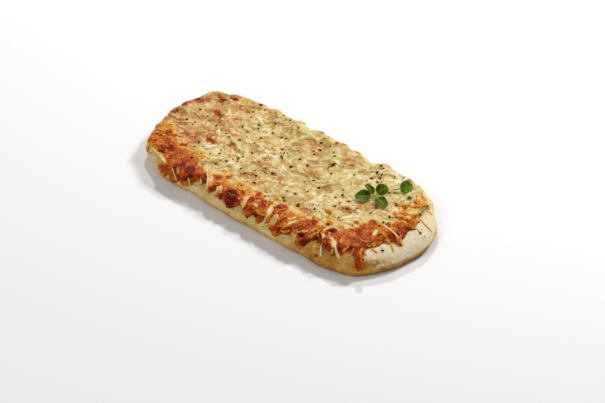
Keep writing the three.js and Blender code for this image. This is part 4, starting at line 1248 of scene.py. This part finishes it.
def crust_paint():
    """Baked dough: cream with golden toasting, brown marks, and flour on the plain end."""
    finish = Finish("baked_dough")
    patches, grain = finish.noise(6, 4) - 0.5, finish.noise(1.3, 4) - 0.5
    dough = finish.ramp(finish.kept("toasted") + patches * 0.55 + grain * 0.35, [
        (0.0, "F2DCA2"), (0.18, "E8C77C"), (0.36, "D4A04A"), (0.55, "B37524"), (0.75, "864816"),
        (1.0, "4E2008"),
    ])
    grains, drifts = finish.noise(1.1, 5, 0.7) - 0.5, finish.noise(5, 3) - 0.5
    dust = finish.kept("floury") + grains * 1.3 + drifts * 1.1
    base = finish.mixed(dust.between(0.15, 0.95), dough, colour("F0E0BC"))
    bump = finish.bumped(finish.noise(1.6, 5, 0.6) * 0.6 + finish.noise(0.4, 3) * 0.4, 0.0009)
    return finish.done(
        base_color=base, roughness=0.72 + (finish.noise(3) - 0.5) * 0.2, normal=bump,
        specular_ior_level=0.14, subsurface_weight=0.1, subsurface_radius=(0.003, 0.0018, 0.0009),
        subsurface_scale=0.6,
    )


def sauce_paint():
    """Tomato sauce, baked thick and glossy."""
    finish = Finish("baked_tomato")
    patchy = finish.noise(2.6, 5, 0.6)
    base = finish.ramp(patchy, [(0.25, "6E1C0C"), (0.5, "9E3312"), (0.75, "BE5A1E")])
    bump = finish.bumped(finish.noise(0.8, 4), 0.0005)
    return finish.done(base_color=base, roughness=0.3 + (patchy - 0.5) * 0.2, normal=bump, coat_weight=0.3)


def herb_paint():
    """Dried herb: near black to dull green and brown."""
    finish = Finish("dried_herb")
    shade = finish.kept("shade") + (finish.noise(0.5, 3) - 0.5) * 0.3
    base = finish.ramp(shade, [
        (0.0, "1A0F04"), (0.45, "2A1B08"), (0.7, "3D2B0C"), (0.88, "564414"), (1.0, "6B5A22"),
    ])
    bump = finish.bumped(finish.noise(0.25, 3), 0.00012)
    rough = 0.5 + (finish.noise(0.6) - 0.5) * 0.3
    return finish.done(
        base_color=base, roughness=rough, normal=bump, specular_ior_level=0.06,
        specular_tint=(1, 0.75, 0.45, 1),
    )


def leaf_paint(name, tones):
    """Fresh leaf: deep green, lighter along the midrib, the veins and the rim."""
    finish = Finish(name)
    share, across = finish.kept("share"), finish.kept("across")
    out = finish.maths("ABSOLUTE", across)
    midrib = 1 - out.between(0.02, 0.12)
    wave = finish.maths("COSINE", (share * VEINS - out * VEIN_SLANT) * (2 * math.pi))
    veins = wave.between(0.7, 1.0) * out.between(0.05, 0.3)
    patchy = finish.noise(2.2, 4)
    green = finish.ramp(patchy * 0.8 + share * 0.2, list(zip((0.3, 0.55, 0.8), tones)))
    light = finish.maths("MAXIMUM", midrib * 0.5, veins * 0.14)
    light = finish.maths("MAXIMUM", light, out.between(0.9, 1.0) * 0.4)
    light = finish.maths("MAXIMUM", light, (1 - share.between(0.0, 0.14)) * 0.7)
    base = finish.mixed(light, green, colour("A9BC3A"))
    bump = finish.bumped(finish.noise(0.5, 3) - veins * 0.6, 0.0002)
    return finish.done(
        base_color=base, roughness=0.33 + (patchy - 0.5) * 0.25, normal=bump, specular_ior_level=0.07,
        specular_tint=(0.95, 1, 0.6, 1), subsurface_weight=0.08, subsurface_radius=(0.0006, 0.0012, 0.0003),
    )


def stalk_paint():
    """Stalk: pale yellow green."""
    finish = Finish("fresh_stalk")
    base = finish.ramp(finish.noise(1.6, 3), [(0.3, "95A03C"), (0.6, "BEC263"), (0.8, "D6D48C")])
    return finish.done(base_color=base, roughness=0.45 + (finish.noise(1) - 0.5) * 0.2)


def floor_paint():
    """Plain pale floor."""
    return Finish("pale_floor").done(base_color=(FLOOR_GREY, FLOOR_GREY, FLOOR_GREY, 1), roughness=0.8)


# The camera, the floor and the light

def camera():
    """The camera at the photograph's angle."""
    azimuth, elevation = math.radians(CAMERA_AZIMUTH), math.radians(CAMERA_ELEVATION)
    level = Euler((math.pi / 2 - elevation, 0, azimuth)).to_matrix().to_4x4()
    roll = Matrix.Rotation(math.radians(CAMERA_ROLL), 4, "Z")
    made = bpy.data.objects.new("camera", bpy.data.cameras.new("camera"))
    made.data.lens = CAMERA_LENS
    made.data.sensor_width = CAMERA_FILM
    made.data.clip_start, made.data.clip_end = CAMERA_CLIP
    made.matrix_world = Matrix.Translation(to_row(CAMERA_PLACE)) @ level @ roll
    bpy.context.scene.collection.objects.link(made)
    bpy.context.scene.camera = made


def floor(finish):
    """A plain pale floor."""
    work = bmesh.new()
    bmesh.ops.create_grid(work, x_segments=1, y_segments=1, size=12)
    placed(mesh_of(work, "floor"), finish)


def lamp(name, place, size, power):
    """A soft square light that points at the food."""
    data = bpy.data.lights.new(name, "AREA")
    data.size = size
    data.energy = power
    made = bpy.data.objects.new(name, data)
    made.location = place
    made.rotation_euler = (-Vector(place)).to_track_quat("-Z", "Y").to_euler()
    made.visible_camera = False
    bpy.context.scene.collection.objects.link(made)


def light():
    """A soft light from behind, a weaker one from the front, a small one for sparkle and a pale room."""
    for name, place, size, power in LAMPS:
        lamp(name, place, size, power)
    room = bpy.data.worlds.new("room")
    room.use_nodes = True
    room.node_tree.nodes["Background"].inputs["Color"].default_value = (1, 1, 1, 1)
    room.node_tree.nodes["Background"].inputs["Strength"].default_value = ROOM_LIGHT
    bpy.context.scene.world = room
    bpy.context.scene.view_settings.view_transform = "Standard"


def bake():
    """Makes the whole pizza."""
    cheese_finish = cheese_paint("melted_cheese")
    shred_finish = cheese_paint("shredded_cheese", shredded=True)
    herb_finish, stalk_finish = herb_paint(), stalk_paint()
    dough = bread(crust_paint())
    sauce(sauce_paint())
    melted = cheese(cheese_finish)
    laid = shreds(shred_finish, surface_under([dough, melted]))
    herbs(herb_finish, surface_under([dough, melted, laid]))
    blades("oregano_blades", SPRIG_LEAVES, "oregano_sprig", leaf_paint("fresh_leaf", FRESH_TONES))
    blades("loose_oregano_blade", [LOOSE_LEAF], "oregano_leaf", leaf_paint("loose_leaf", LOOSE_TONES))
    heart = Vector(SPRIG_HEART)
    bud = ([heart + Vector((0, 0, -1)), heart, heart + Vector((0.3, 0.2, 1.2))], BUD_RADIUS)
    necks = [([heart, (heart + Vector(leaf[0])) / 2, leaf[0]], NECK_RADIUS) for leaf in SPRIG_LEAVES]
    stalks("oregano_stalk", [(SPRIG_STALK, STALK_RADIUS), bud, *necks], stalk_finish)
    stalks("loose_oregano_stalk", [(LOOSE_STALK, STALK_RADIUS)], stalk_finish)


camera()
floor(floor_paint())
light()
bake()
